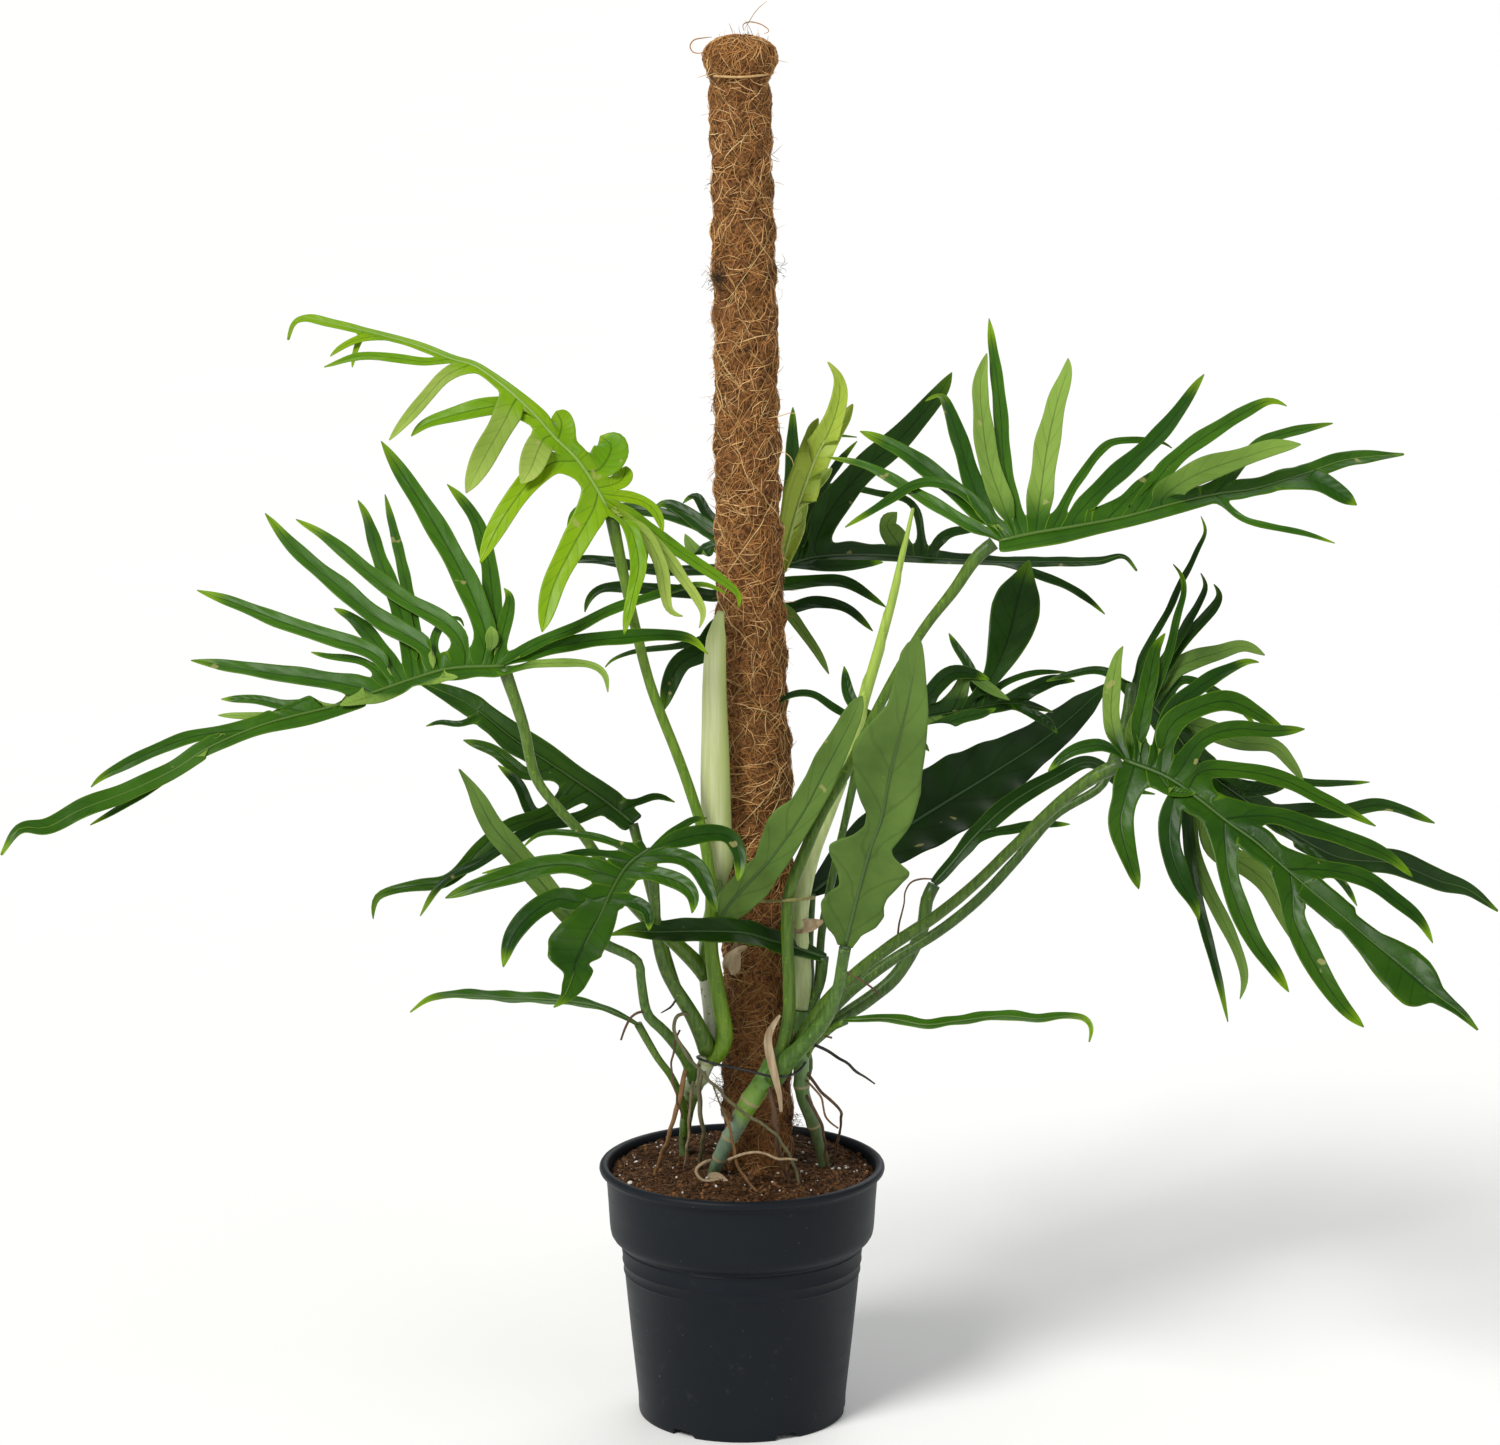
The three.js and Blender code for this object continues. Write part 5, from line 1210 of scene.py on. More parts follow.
             (1240, 999)),
            (12, 10, 0, (1182, 745), (1188, 830), (1195, 889), (1209, 943), (1220, 985), (1228, 1022)),
        ],
    },
    "leaf_narrow_right": {
        "look": "deep", "slot": "leaf_deep", "lean": 0.6, "rib_radius": 1.6, "level": 2,
        "radii": [5.5, 5.5, 6, 5],
        "stalk": [
            (934, 885, -8), (927, 900, -8), (922, 930, -8), (896, 976, -10), (869, 999, -12),
            (836, 1021, -14), (808, 1046, -22),
        ],
        "widths": [8, 14, 16, 14, 12, 10, 1],
        "rib": [
            (934, 883, -8), (948, 868, -2), (975, 836, 10), (1010, 804, 28), (1055, 777, 55),
            (1090, 762, 76), (1127, 788, 94), (1155, 794, 106),
        ],
        "lobes": [(10, 0, 0, (980, 832), (1010, 830), (1033, 825), (1070, 824))],
    },
    "leaf_low_right": {
        "look": "mid", "slot": "leaf_mid", "lean": 2.4, "rib_radius": 1.4,
        "radii": [3.2, 2.6, 3, 4],
        "stalk": [(846, 1021, -48), (828, 1030, -40), (814, 1042, -33), (804, 1058, -24)],
        "widths": [6, 12, 14, 14, 13, 10, 1],
        "rib": [
            (845, 1020, -48), (892, 1019, -61), (925, 1025, -74), (959, 1021, -88), (1003, 1016, -103),
            (1037, 1019, -116), (1070, 1016, -129), (1086, 1019, -136), (1092, 1028, -140),
            (1089, 1042, -145),
        ],
    },
}

# Stems that rise out of the soil, with their radii spread evenly along them
STEMS = {
    "stem_front": {
        "radii": [3.2, 4.2, 5.9, 7.4, 8.6, 8.4], "green": "front",
        "path": [
            (704, 1215, -18), (712, 1178, -25), (722, 1152, -34), (734, 1130, -41), (745, 1110, -45),
            (757, 1091, -47), (768, 1074, -46), (774, 1062, -45),
        ],
        "rings": [(726, 1152, 1.12), (738, 1130, 1.14), (757, 1091, 1.1)],
    },
    "stem_left": {
        "radii": [4, 4.5, 5.5, 8, 6.5, 6.2, 6.2], "green": "left",
        "path": [
            (684, 1170, 34), (684, 1144, 30), (686, 1120, 8), (692, 1090, -18), (708, 1058, -38),
            (711, 1020, -38), (708, 990, -37), (706, 973, -36),
        ],
        "rings": [(708, 1058, 1.2), (710, 1040, 1.12)],
    },
    "stem_right": {
        "radii": [4.5, 5.5, 6.5, 7], "green": "right",
        "path": [
            (826, 1172, 6), (820, 1146, 0), (812, 1120, -12), (803, 1095, -20), (801, 1060, -25),
            (802, 1010, -27),
        ],
        "rings": [(812, 1120, 1.15), (802, 1075, 1.18)],
    },
}

SHEATH = {
    "radii": [5, 5.5, 6],
    "stalk": [(706, 962, -35), (705, 950, -35), (707, 930, -35), (713, 905, -36), (718, 878, -37)],
    "widths": [18, 24.5, 24.8, 24.8, 24.3, 23, 21.3, 20, 18.6, 16.4, 5.5],
    "rib": [
        (721, 885, -38), (719, 865, -38), (717, 838, -39), (716, 807, -40), (715, 745, -40),
        (714.5, 684, -40), (716, 643, -40), (718.5, 622, -40), (721, 611, -40),
    ],
}

SPIKE = {
    "radii": [1.2, 3.2, 4.4, 5.2, 6.0, 7.2, 7],
    "path": [
        (913, 508, -28), (904, 548, -28), (888, 616, -28), (869, 682, -29), (850, 750, -31),
        (829, 811, -32), (812, 857, -32), (800, 916, -32), (803, 975, -30), (802, 1008, -28),
    ],
}

# Aerial roots: radius, the look, and the places that each passes
ROOTS = {
    "root_black_right": (1.3, "black", [
        (801, 1042, -27), (812, 1043, -36), (839, 1059, -44), (858, 1072, -50), (875, 1084, -54),
    ]),
    "root_brown_left": (1.1, "brown", [
        (650, 1014, -70), (640, 1011, -76), (627, 1022, -78), (621, 1040, -78),
    ]),
    "root_black_left": (1.0, "black", [
        (690, 1010, -58), (678, 999, -66), (673, 1005, -68), (661, 1013, -68),
    ]),
    "root_long_loop": (1.5, "olive", [
        (700, 1030, -48), (688, 1013, -66), (676, 1019, -70), (675, 1032, -72), (684, 1051, -72),
        (707, 1078, -70), (724, 1095, -70), (749, 1116, -68), (772, 1132, -62), (792, 1160, -52),
        (800, 1190, -48),
    ]),
    "root_olive_left": (2.0, "orange", [
        (688, 1062, -34), (681, 1090, -50), (672, 1126, -46), (658, 1166, -20), (652, 1192, -16),
    ]),
    "root_grey_left": (2.0, "olive", [
        (702, 1068, -38), (699, 1100, -44), (703, 1130, -34), (700, 1160, -12), (699, 1184, -6),
    ]),
    "root_orange_front": (1.4, "orange", [
        (735, 1128, -40), (724, 1110, -58), (730, 1130, -62), (738, 1165, -62), (762, 1200, -66),
        (768, 1216, -68),
    ]),
    "root_red_front": (2.0, "brown", [
        (768, 1080, -46), (772, 1100, -58), (775, 1126, -58), (779, 1156, -50), (788, 1178, -42),
        (792, 1196, -40),
    ]),
    "root_right_far": (1.3, "brown", [
        (802, 1066, -24), (818, 1087, -30), (839, 1108, -28), (841, 1122, -14), (836, 1150, 8),
        (834, 1170, 14),
    ]),
    "root_right_near": (1.3, "brown", [
        (804, 1090, -20), (812, 1106, -32), (822, 1126, -26), (826, 1160, -6), (827, 1180, 0),
    ]),
}

# Finer rootlets and twigs that hang at the base, which have no CAD node of their own
TWIGS = {
    "twig_beige_soil": (1.2, "beige", [
        (728, 1160, -62), (741, 1155, -66), (753, 1152, -68), (776, 1158, -66), (797, 1160, -58),
    ]),
    "twig_beige_curl": (1.3, "beige", [
        (711, 1160, -42), (703, 1163, -48), (696, 1172, -50), (702, 1182, -52), (720, 1179, -54),
    ]),
    "twig_stub_right": (1.0, "brown", [(806, 1032, -30), (820, 1034, -36), (832, 1038, -40)]),
    "twig_thin_left": (0.9, "brown", [
        (680, 1030, -66), (671, 1063, -70), (675, 1090, -66), (682, 1118, -52),
    ]),
    "twig_thin_middle": (0.8, "olive", [
        (713, 1085, -58), (719, 1101, -64), (726, 1120, -60), (733, 1140, -54),
    ]),
    "twig_orange_right": (0.9, "orange", [
        (806, 1080, -30), (822, 1098, -34), (826, 1118, -28), (838, 1128, -20),
    ]),
    "twig_grey_left": (1.1, "beige", [
        (694, 1075, -34), (690, 1108, -40), (688, 1140, -28), (684, 1168, -8),
    ]),
    "twig_upper_right": (0.8, "brown", [(898, 934, -66), (903, 906, -70), (912, 880, -72), (932, 879, -74)]),
    "twig_black_end": (0.9, "brown", [(847, 972, -62), (862, 982, -66), (876, 991, -68), (882, 997, -68)]),
}

TIES = {
    "tie_black": (1.1, "black_tie", [
        (698, 1058, -44), (712, 1063, -58), (730, 1067, -58), (753, 1072, -62), (775, 1077, -62),
        (794, 1074, -50), (806, 1062, -28), (802, 1054, 4), (785, 1050, 26), (757, 1046, 36),
        (728, 1050, 26), (704, 1055, -10),
    ]),
    "tie_raffia": (1.4, "raffia", [
        (726, 895, 6), (729, 898, -12), (740, 900, -27), (757, 901, -34), (775, 901, -50), (790, 900, -62),
        (803, 899, -56), (813, 898, -38), (812, 897, -18), (800, 895, 8), (780, 893, 28), (757, 892, 35),
        (736, 893, 26),
    ]),
    "tie_pole_top": (1.0, "golden_thread", [
        (707, 74, 0), (717, 76, -19), (740, 77, -27), (763, 75, -19), (773, 73, 0), (763, 71, 19),
        (740, 70, 27), (717, 71, 19),
    ]),
}

BRACTS = {
    "bract_front": {
        "lean": 0.2, "widths": [2, 6, 7, 6, 4, 2],
        "rib": [
            (780, 1015, -60), (768, 1036, -60), (771, 1060, -63), (776, 1080, -63), (780, 1098, -60),
            (781, 1112, -58),
        ],
    },
    "bract_right": {
        "lean": 0.3, "widths": [6, 11, 12, 9, 2],
        "rib": [(791, 929, -37), (800, 927, -38), (812, 925, -39), (823, 921, -40)],
    },
}

# Dry scale leaves at the foot of the sheath and on the soil
SCALES = {
    "scale_sheath": {
        "lean": 0.2, "widths": [3, 11, 8, 10, 4, 1],
        "rib": [(733, 975, -36), (735, 962, -38), (735, 950, -39), (737, 938, -40)],
    },
    "scale_sheath_low": {
        "lean": 0.2, "widths": [2, 7, 10, 5, 6, 1],
        "rib": [(724, 968, -42), (730, 957, -44), (738, 950, -44), (747, 946, -42)],
    },
    "scale_soil": {
        "lean": 0.9, "widths": [5, 12, 13, 10, 3],
        "rib": [(706, 1181, -34), (712, 1180, -38), (719, 1181, -42), (728, 1183, -46)],
    },
}


def sweep_look(name, dark, light, rough=0.6, streak=(12.0, 12.0, 1.5), fine=0.4):
    """Plain stem-like surface: two tones in lengthwise streaks, with a fine grain."""
    build = Looks(name)
    streaks = build.noise(28.0, 4.0, vector=build.stretched(streak))
    tone = build.plus(build.times(streaks, 0.7), build.times(build.mark("tint"), 0.45))
    base = build.mix(build.step(tone, 0.3, 0.8), dark, light)
    height = build.plus(streaks, build.times(build.noise(320.0), fine))
    return build.finish(base, rough, build.bump(height, 0.5, 0.0008))


def stem_look(name, tones, band, speckle):
    """Stem whose tone changes with the places along it, with scars and speckles."""
    build = Looks(name)
    uneven = build.times(build.math("SUBTRACT", build.noise(70.0, 2.0), 0.5), 0.10)
    along = build.plus(build.mark("along"), uneven)
    streaks = build.noise(26.0, 4.0, vector=build.stretched((10.0, 10.0, 1.4)))
    base = tones[0][1]
    for (low, _), (high, tone) in zip(tones, tones[1:]):
        base = build.mix(build.step(along, low, high), base, tone)
    base = build.mix(build.times(build.step(streaks, 0.4, 0.7), 0.28), base, (0.27, 0.38, 0.17))
    spots = build.step(build.noise(190.0, 3.0), 0.58, 0.66)
    base = build.mix(build.times(spots, speckle), base, (0.09, 0.045, 0.02))
    base = build.mix(build.step(build.mark("pale"), 0.3, 0.9), base, band)
    height = build.plus(streaks, build.times(build.noise(240.0), 0.5))
    return build.finish(base, build.step(streaks, 0.2, 0.8, 0.36, 0.52), build.bump(height, 0.4, 0.0010))


# Tones of each stem from its foot up, its scars' tone, and how strongly it is speckled
STEM_TONES = {
    "front": (
        (
            (0.03, (0.36, 0.35, 0.24)),
            (0.12, (0.11, 0.17, 0.075)),
            (0.30, (0.075, 0.135, 0.060)),
            (0.36, (0.13, 0.20, 0.13)),
            (0.60, (0.17, 0.25, 0.17)),
            (0.70, (0.17, 0.31, 0.025)),
            (0.96, (0.07, 0.18, 0.015)),
        ),
        (0.36, 0.28, 0.14),
        0.45,
    ),
    "left": (
        (
            (0.1, (0.10, 0.17, 0.05)),
            (0.45, (0.14, 0.24, 0.05)),
            (0.62, (0.47, 0.50, 0.34)),
            (1.0, (0.50, 0.52, 0.38)),
        ),
        (0.36, 0.40, 0.14),
        0.85,
    ),
    "right": (((0.25, (0.09, 0.14, 0.05)), (0.75, (0.09, 0.20, 0.035))), (0.34, 0.29, 0.15), 0.35),
}


def make_stem(node, stem):
    """Stem with swollen node rings, whose mark pale shows the ring's scar."""
    path = route(stem["path"])
    steps = max(30, int(path.length / (2.5 * MM)))
    rings = []
    for across, down, swell in stem["rings"]:
        place = min(range(steps + 1), key=lambda step: abs(
            (path.at(path.length * step / steps) - seen(across, down, stem["path"][0][2]))[2]))
        rings.append((place / steps, swell))
    radii = []
    for step in range(steps + 1):
        share = step / steps
        radius = evenly(stem["radii"], share)
        for place, swell in rings:
            near = math.exp(-((share - place) * path.length / (3.2 * MM)) ** 2)
            radius *= 1 + (swell - 1) * near
        radii.append(radius)
    sheet = Sheet()
    sheet.tube(path, radii, 20, steps, wobble=0.07)
    for index, (edge, along, _, tint) in enumerate(sheet.marks):
        scar = sum(math.exp(-((along - place) * path.length / (1.3 * MM)) ** 2) for place, _ in rings)
        sheet.marks[index] = (edge, along, min(scar, 1.0), tint)
    look = stem_look(node + "_look", *STEM_TONES[stem["green"]])
    piece = place_object(node + "_grown", sheet.mesh(node), [look])
    return finished(piece, "stem", node)


def make_sheath():
    """Cream sheath, a closed boat-shaped bract on a short stalk."""
    rib = route(SHEATH["rib"])
    stalk = route(SHEATH["stalk"])
    sheet = Sheet()
    steps = 60
    sides = 24
    rows = []
    marks = []
    for step in range(steps + 1):
        share = step / steps
        run = share * rib.length
        half = max(evenly(SHEATH["widths"], share), 0.8) / 2 * MM
        half *= min(1.0, 0.45 + 9 * share)
        forward = rib.heading(run)
        side = unit(np.cross(forward, (0, -1, 0)))
        front = np.cross(side, forward)
        row = []
        for corner in range(sides):
            angle = corner / sides * CIRCLE
            out = side * math.cos(angle) + front * math.sin(angle) * (0.62 if math.sin(angle) > 0 else 0.5)
            ridge = 1 + 0.10 * math.exp(-((angle - 5.6) / 0.22) ** 2) + 0.01 * math.sin(angle * 5 + run * 60)
            row.append(rib.at(run) + out * half * ridge)
        rows.append(row)
        across = [math.cos(corner / sides * CIRCLE) for corner in range(sides)]
        marks.append([(abs(right), share, smooth(0.15, 0.75, right), 0.5) for right in across])
    sheet.grid(rows, marks, closed=True)
    sheet.cap(0, sides, 0, True)
    sheet.cap(steps * sides, sides, 0, False)
    sheet.tube(stalk, SHEATH["radii"], 16, 14, kind=1, wobble=0.04)
    build = Looks("sheath_cream_look")
    streaks = build.noise(24.0, 4.0, vector=build.stretched((16.0, 16.0, 0.7)))
    base = build.mix(build.step(streaks, 0.3, 0.7), (0.44, 0.48, 0.20), (0.54, 0.58, 0.31))
    base = build.mix(build.times(build.mark("pale"), 0.75), base, (0.34, 0.42, 0.10))
    base = build.mix(build.step(build.mark("along"), 0.80, 1.0, 0.0, 0.5), base, (0.42, 0.52, 0.16))
    base = build.mix(build.step(build.mark("along"), 0.08, 0.0, 0.0, 0.6), base, (0.25, 0.36, 0.10))
    look = build.finish(base, 0.42, build.bump(streaks, 0.15, 0.0006))
    stem = sweep_look("sheath_foot", (0.12, 0.24, 0.05), (0.22, 0.36, 0.08), 0.42)
    piece = place_object("sheath_cream_grown", sheet.mesh("sheath_cream"), [look, stem])
    return finished(piece, "sheath", "sheath_cream")


def make_spike():
    """Tightly rolled new leaf: the roll's free edge winds round it in a low step."""
    path = route(SPIKE["path"])
    sheet = Sheet()
    steps = 150
    sides = 20
    side = unit(np.cross(path.heading(0), (0.31, 0.2, 0.93)))
    rows = []
    marks = []
    for step in range(steps + 1):
        share = step / steps
        forward = path.heading(share * path.length)
        side = unit(side - forward * np.dot(side, forward))
        other = np.cross(forward, side)
        radius = evenly(SPIKE["radii"], share) * MM
        wound = smooth(0.66, 0.5, share) if share < 0.66 else 0.0
        row = []
        row_marks = []
        for corner in range(sides):
            angle = corner / sides * CIRCLE
            turn = (angle / CIRCLE + share * 7.5) % 1.0
            grow = 1 + 0.24 * wound * (1 - turn) ** 1.5
            row.append(path.at(share * path.length)
                       + (side * math.cos(angle) + other * math.sin(angle)) * radius * grow)
            row_marks.append((turn, share, 0.0, 0.5))
        rows.append(row)
        marks.append(row_marks)
    sheet.grid(rows, marks, closed=True)
    sheet.cap(0, sides, 0, True)
    sheet.cap(steps * sides, sides, 0, False)
    build = Looks("spike_look")
    along = build.mark("along")
    streaks = build.noise(26.0, 4.0, vector=build.stretched((12.0, 12.0, 1.2)))
    base = build.mix(build.step(along, 0.35, 0.75), (0.36, 0.50, 0.07), (0.50, 0.56, 0.26))
    base = build.mix(build.times(build.step(streaks, 0.4, 0.72), 0.5), base, (0.20, 0.36, 0.04))
    fold = build.times(build.step(build.mark("edge"), 0.75, 1.0), build.step(along, 0.6, 0.4))
    base = build.mix(build.times(fold, 0.5), base, (0.13, 0.26, 0.03))
    look = build.finish(base, 0.38, build.bump(streaks, 0.35, 0.0008))
    piece = place_object("spike_rolled_grown", sheet.mesh("spike_rolled"), [look])
    return finished(piece, "leaf_lime", "spike_rolled")


def rough_path(places, sway, seed):
    """Path through the places with small natural bends between them."""
    chance = random.Random(seed)
    straight = Path(places)
    count = max(len(places), int(straight.length / (9 * MM)))
    bent = []
    for step in range(count + 1):
        place = straight.at(straight.length * step / count)
        if 0 < step < count:
            place = place + np.array([chance.uniform(-1, 1) for _ in range(3)]) * sway
        bent.append(place)
    return Path(bent)


ROOT_TONES = {
    "black": ((0.006, 0.005, 0.004), (0.03, 0.022, 0.016)),
    "brown": ((0.035, 0.018, 0.009), (0.13, 0.065, 0.028)),
    "olive": ((0.06, 0.055, 0.022), (0.18, 0.16, 0.07)),
    "orange": ((0.08, 0.045, 0.015), (0.26, 0.13, 0.04)), "beige": ((0.20, 0.13, 0.07), (0.46, 0.34, 0.20)),
}


def make_roots():
    looks = {tone: sweep_look(
        "root_" + tone, *ROOT_TONES[tone], rough=0.72, fine=0.9
    ) for tone in ROOT_TONES}
    for name, (radius, tone, places) in list(ROOTS.items()) + list(TWIGS.items()):
        path = rough_path([seen(*place) for place in places], 0.9 * MM, name)
        sheet = Sheet()
        radii = [
            radius, radius * 1.05, radius * 0.9, radius * 0.95,
            radius * (0.45 if "black" in name else 0.85)
        ]
        sheet.tube(path, radii, 9, max(12, int(path.length / (3 * MM))), wobble=0.3)
        piece = place_object(name + "_grown", sheet.mesh(name), [looks[tone]])
        finished(piece, "root", *([name] if name in ROOTS else []))


def closed_path(places):
    """Path that ends where it starts, without a corner there."""
    places = [seen(*place) for place in places]
    return Path([places[-1]] + places + places[:2]), len(places)


def make_tie(node, radius, slot, places, look, strands):
    """Cord tied round the plant: twisted strands along a closed route."""
    path, _ = closed_path(places)
    start = path.runs[8]
    span = path.runs[-9] - start
    steps = max(120, int(span / (1.6 * MM)))
    sheet = Sheet()
    size = radius * MM / (1.0 if strands == 1 else 1.55)
    for strand in range(strands):
        rows = []
        marks = []
        for step in range(steps):
            run = start + span * step / steps
            forward = path.heading(run)
            side = unit(np.cross(forward, (0, 0.05, 1)))
            other = np.cross(forward, side)
            turn = step / steps * CIRCLE * 14 + strand / strands * CIRCLE
            centre = path.at(run)
            if strands > 1:
                centre = centre + (side * math.cos(turn) + other * math.sin(turn)) * size * 0.6
            row = []
            for corner in range(8):
                angle = corner / 8 * CIRCLE
                row.append(centre + (side * math.cos(angle) + other * math.sin(angle)) * size)
            rows.append(row)
            marks.append([(0.0, step / steps, 0.0, 0.5)] * 8)
        rows.append(rows[0])
        marks.append(marks[0])
        sheet.grid(rows, marks, closed=True)
    data = sheet.mesh(node)
    work = bmesh.new()
    work.from_mesh(data)
    bmesh.ops.remove_doubles(work, verts=work.verts, dist=1e-6)
    bmesh.ops.recalc_face_normals(work, faces=work.faces)
    work.to_mesh(data)
    work.free()
    piece = place_object(node + "_tied", data, [look])
    return finished(piece, slot, node)


def make_ties():
    looks = {
        "black_tie": sweep_look("tie_black_look", (0.006, 0.006, 0.007), (0.02, 0.02, 0.022), 0.4),
        "raffia": sweep_look("tie_raffia_look", (0.16, 0.15, 0.04), (0.34, 0.30, 0.10), 0.7),
        "golden_thread": sweep_look("tie_golden_look", (0.36, 0.20, 0.07), (0.66, 0.44, 0.18), 0.6),
    }
    for node, (radius, slot, places) in TIES.items():
        make_tie(node, radius, slot, places, looks[slot], 1 if node == "tie_black" else 3)


def make_bracts():
    """Dry papery bracts, curled in at their margins."""
    look = sweep_look("bract_look", (0.22, 0.14, 0.07), (0.55, 0.43, 0.27), 0.8, (9.0, 9.0, 1.2), 0.8)
    for name, bract in list(BRACTS.items()) + list(SCALES.items()):
        leaf = {**bract, "fold": 0.55}
        blade = Blade(name, leaf)
        data = thickened(name, blade.build(), 0.5 * MM, [look], 2)
        piece = place_object(name + "_dry", data, [])
        finished(piece, "bract", *([name] if name in BRACTS else []))


def bundle(name, lines, radii, tints, sides=3, taper=0.65):
    """Many thin tubes along lines of equally many points, as one mesh; each keeps its own tint."""
    lines = np.array(lines, float)
    count, steps = lines.shape[:2]
    ahead = np.gradient(lines, axis=1)
    ahead /= np.maximum(np.linalg.norm(ahead, axis=2, keepdims=True), 1e-9)
    side = np.cross(ahead, (0.31, 0.93, 0.2))
    side /= np.maximum(np.linalg.norm(side, axis=2, keepdims=True), 1e-9)
    other = np.cross(ahead, side)
    thick = 1 - taper * np.abs(np.linspace(-1, 1, steps)) ** 3
    size = np.array(radii)[:, None, None] * thick[None, :, None]
    angles = [corner / sides * CIRCLE for corner in range(sides)]
    rings = [lines + (side * math.cos(angle) + other * math.sin(angle)) * size for angle in angles]
    places = np.stack(rings, axis=2).reshape(-1, 3)
    first = (np.arange(count)[:, None] * steps + np.arange(steps - 1)[None, :]).reshape(-1) * sides
    faces = []
    for corner in range(sides):
        after = (corner + 1) % sides
        quads = np.stack(
            [first + corner, first + after, first + after + sides, first + corner + sides], axis=1
        )
        faces += quads.tolist()
    starts = np.arange(count) * steps * sides
    ends = starts + (steps - 1) * sides
    faces += np.stack([starts + corner for corner in reversed(range(sides))], axis=1).tolist()
    faces += np.stack([ends + corner for corner in range(sides)], axis=1).tolist()
    data = bpy.data.meshes.new(name)
    data.from_pydata(places.tolist(), [], faces)
    layer = data.attributes.new("tint", "FLOAT", "POINT")
    layer.data.foreach_set("value", np.repeat(np.array(tints, float), steps * sides))
    data.polygons.foreach_set("use_smooth", [True] * len(faces))
    return data


class Skin:
    """Surface that closes round the pole, as a grid of places that can be read between its points."""

    def __init__(self, places):
        self.places = np.array(places)
        up = np.gradient(self.places, axis=0)
        around = np.roll(self.places, -1, axis=1) - np.roll(self.places, 1, axis=1)
        out = np.cross(around, up)
        self.normals = out / np.maximum(np.linalg.norm(out, axis=2, keepdims=True), 1e-9)

    def read(self, grid, row, turn):
        rows, columns = grid.shape[:2]
        row = np.clip(row, 0, rows - 1.001)
        column = (turn % 1.0) * columns
        low = row.astype(int)
        left = column.astype(int) % columns
        right = (left + 1) % columns
        part = (row - low)[..., None]
        aside = (column - column.astype(int))[..., None]
        below = grid[low, left] * (1 - aside) + grid[low, right] * aside
        above = grid[low + 1, left] * (1 - aside) + grid[low + 1, right] * aside
        return below * (1 - part) + above * part

    def at(self, row, turn, lift):
        return self.read(self.places, row, turn) + self.read(self.normals, row, turn) * lift[..., None]


# The coir pole's wrapping: threads wind round it both ways and the coir swells between them
THREADS = {"starts": 6, "pitch": 210, "radius": 0.34, "groove": 4.2}
# Radius of the pole's cap at depths below its top
CAP = {
    "down": [60, 50, 41, 35, 31, 25, 18, 10, 4, 1.5, 0.3, 0],
    "radius": [24.6, 24.3, 24.4, 23.2, 25.2, 28.2, 29.4, 28, 22, 14, 6, 0.3]
}
POLE_TOP = seen(740, 36, 0)[2]
POLE_FOOT = 0.196


def pole_skin():
    """The pole's swollen surface, from the potting mix up over the cap to its middle."""
    axis = route(POLE_PLACES)
    order = np.argsort(axis.points[:, 2])
    low = POLE_TOP - CAP["down"][0] * MM
    profile = []
    height = POLE_FOOT
    while height < low:
        run = np.interp(height, axis.points[order, 2], axis.runs[order])
        profile.append((height, evenly(POLE_RADII, run / axis.length) * MM))
        height += 2.8 * MM
    cap = Path([(radius * MM, 0, POLE_TOP - down * MM) for down, radius in zip(CAP["down"], CAP["radius"])])
    steps = int(cap.length / (2.4 * MM))
    for step in range(steps + 1):
        place = cap.at(cap.length * step / steps)
        profile.append((place[2], max(place[0], 0.2 * MM)))
    columns = 72
    rows = []
    for height, radius in profile:
        x = np.interp(height, axis.points[order, 2], axis.points[order, 0])
        y = np.interp(height, axis.points[order, 2], axis.points[order, 1])
        row = []
        share = min(radius / (20 * MM), 1.0)
        for column in range(columns):
            turn = column / columns
            angle = turn * CIRCLE
            one = math.sin(math.pi * THREADS["starts"] * (turn + height / MM / THREADS["pitch"]))
            two = math.sin(math.pi * THREADS["starts"] * (turn - height / MM / THREADS["pitch"]))
            swell = (abs(one) * abs(two)) ** 0.55 - 0.62
            place = Vector((math.cos(angle) * 2.2, math.sin(angle) * 2.2, height * 62))
            uneven = noise.noise(place) * 1.5 + noise.noise(place * 3.1) * 0.9
            uneven += noise.noise(place * 0.3) * 1.2
            out = radius + (swell * THREADS["groove"] + uneven - 0.5) * MM * share
            row.append((
                x + math.cos(angle) * out, y + math.sin(angle) * out,
                height + 0.5 * uneven * MM * (1 - share)
            ))
        rows.append(row)
    return Skin(rows)


def fibre_look(name, dark, middle, light):
    """Dry plant fibre: each strand takes its own tone from its tint, and strands low down are darkened by
    painted shade.
    """
    build = Looks(name)
    tint = build.mark("tint")
    tone = build.plus(tint, build.times(build.math("SUBTRACT", build.noise(90.0), 0.5), 0.5))
    base = build.mix(build.step(tone, 0.05, 0.5), dark, middle)
    base = build.mix(build.step(tone, 0.55, 0.98), base, light)
    # Painted shade: below 0.50 m up, rising to a 0.55 mix at 0.27 m and lower, each strand is mixed towards
    # its dark tone, for the shade that the leaves cast on the lower pole and the soil
    base = build.mix(build.step(build.height(), 0.27, 0.50, 0.55, 0.0), base, dark)
    return build.finish(base, 0.62, build.bump(build.noise(900.0), 0.3, 0.0003), specular=0.2)


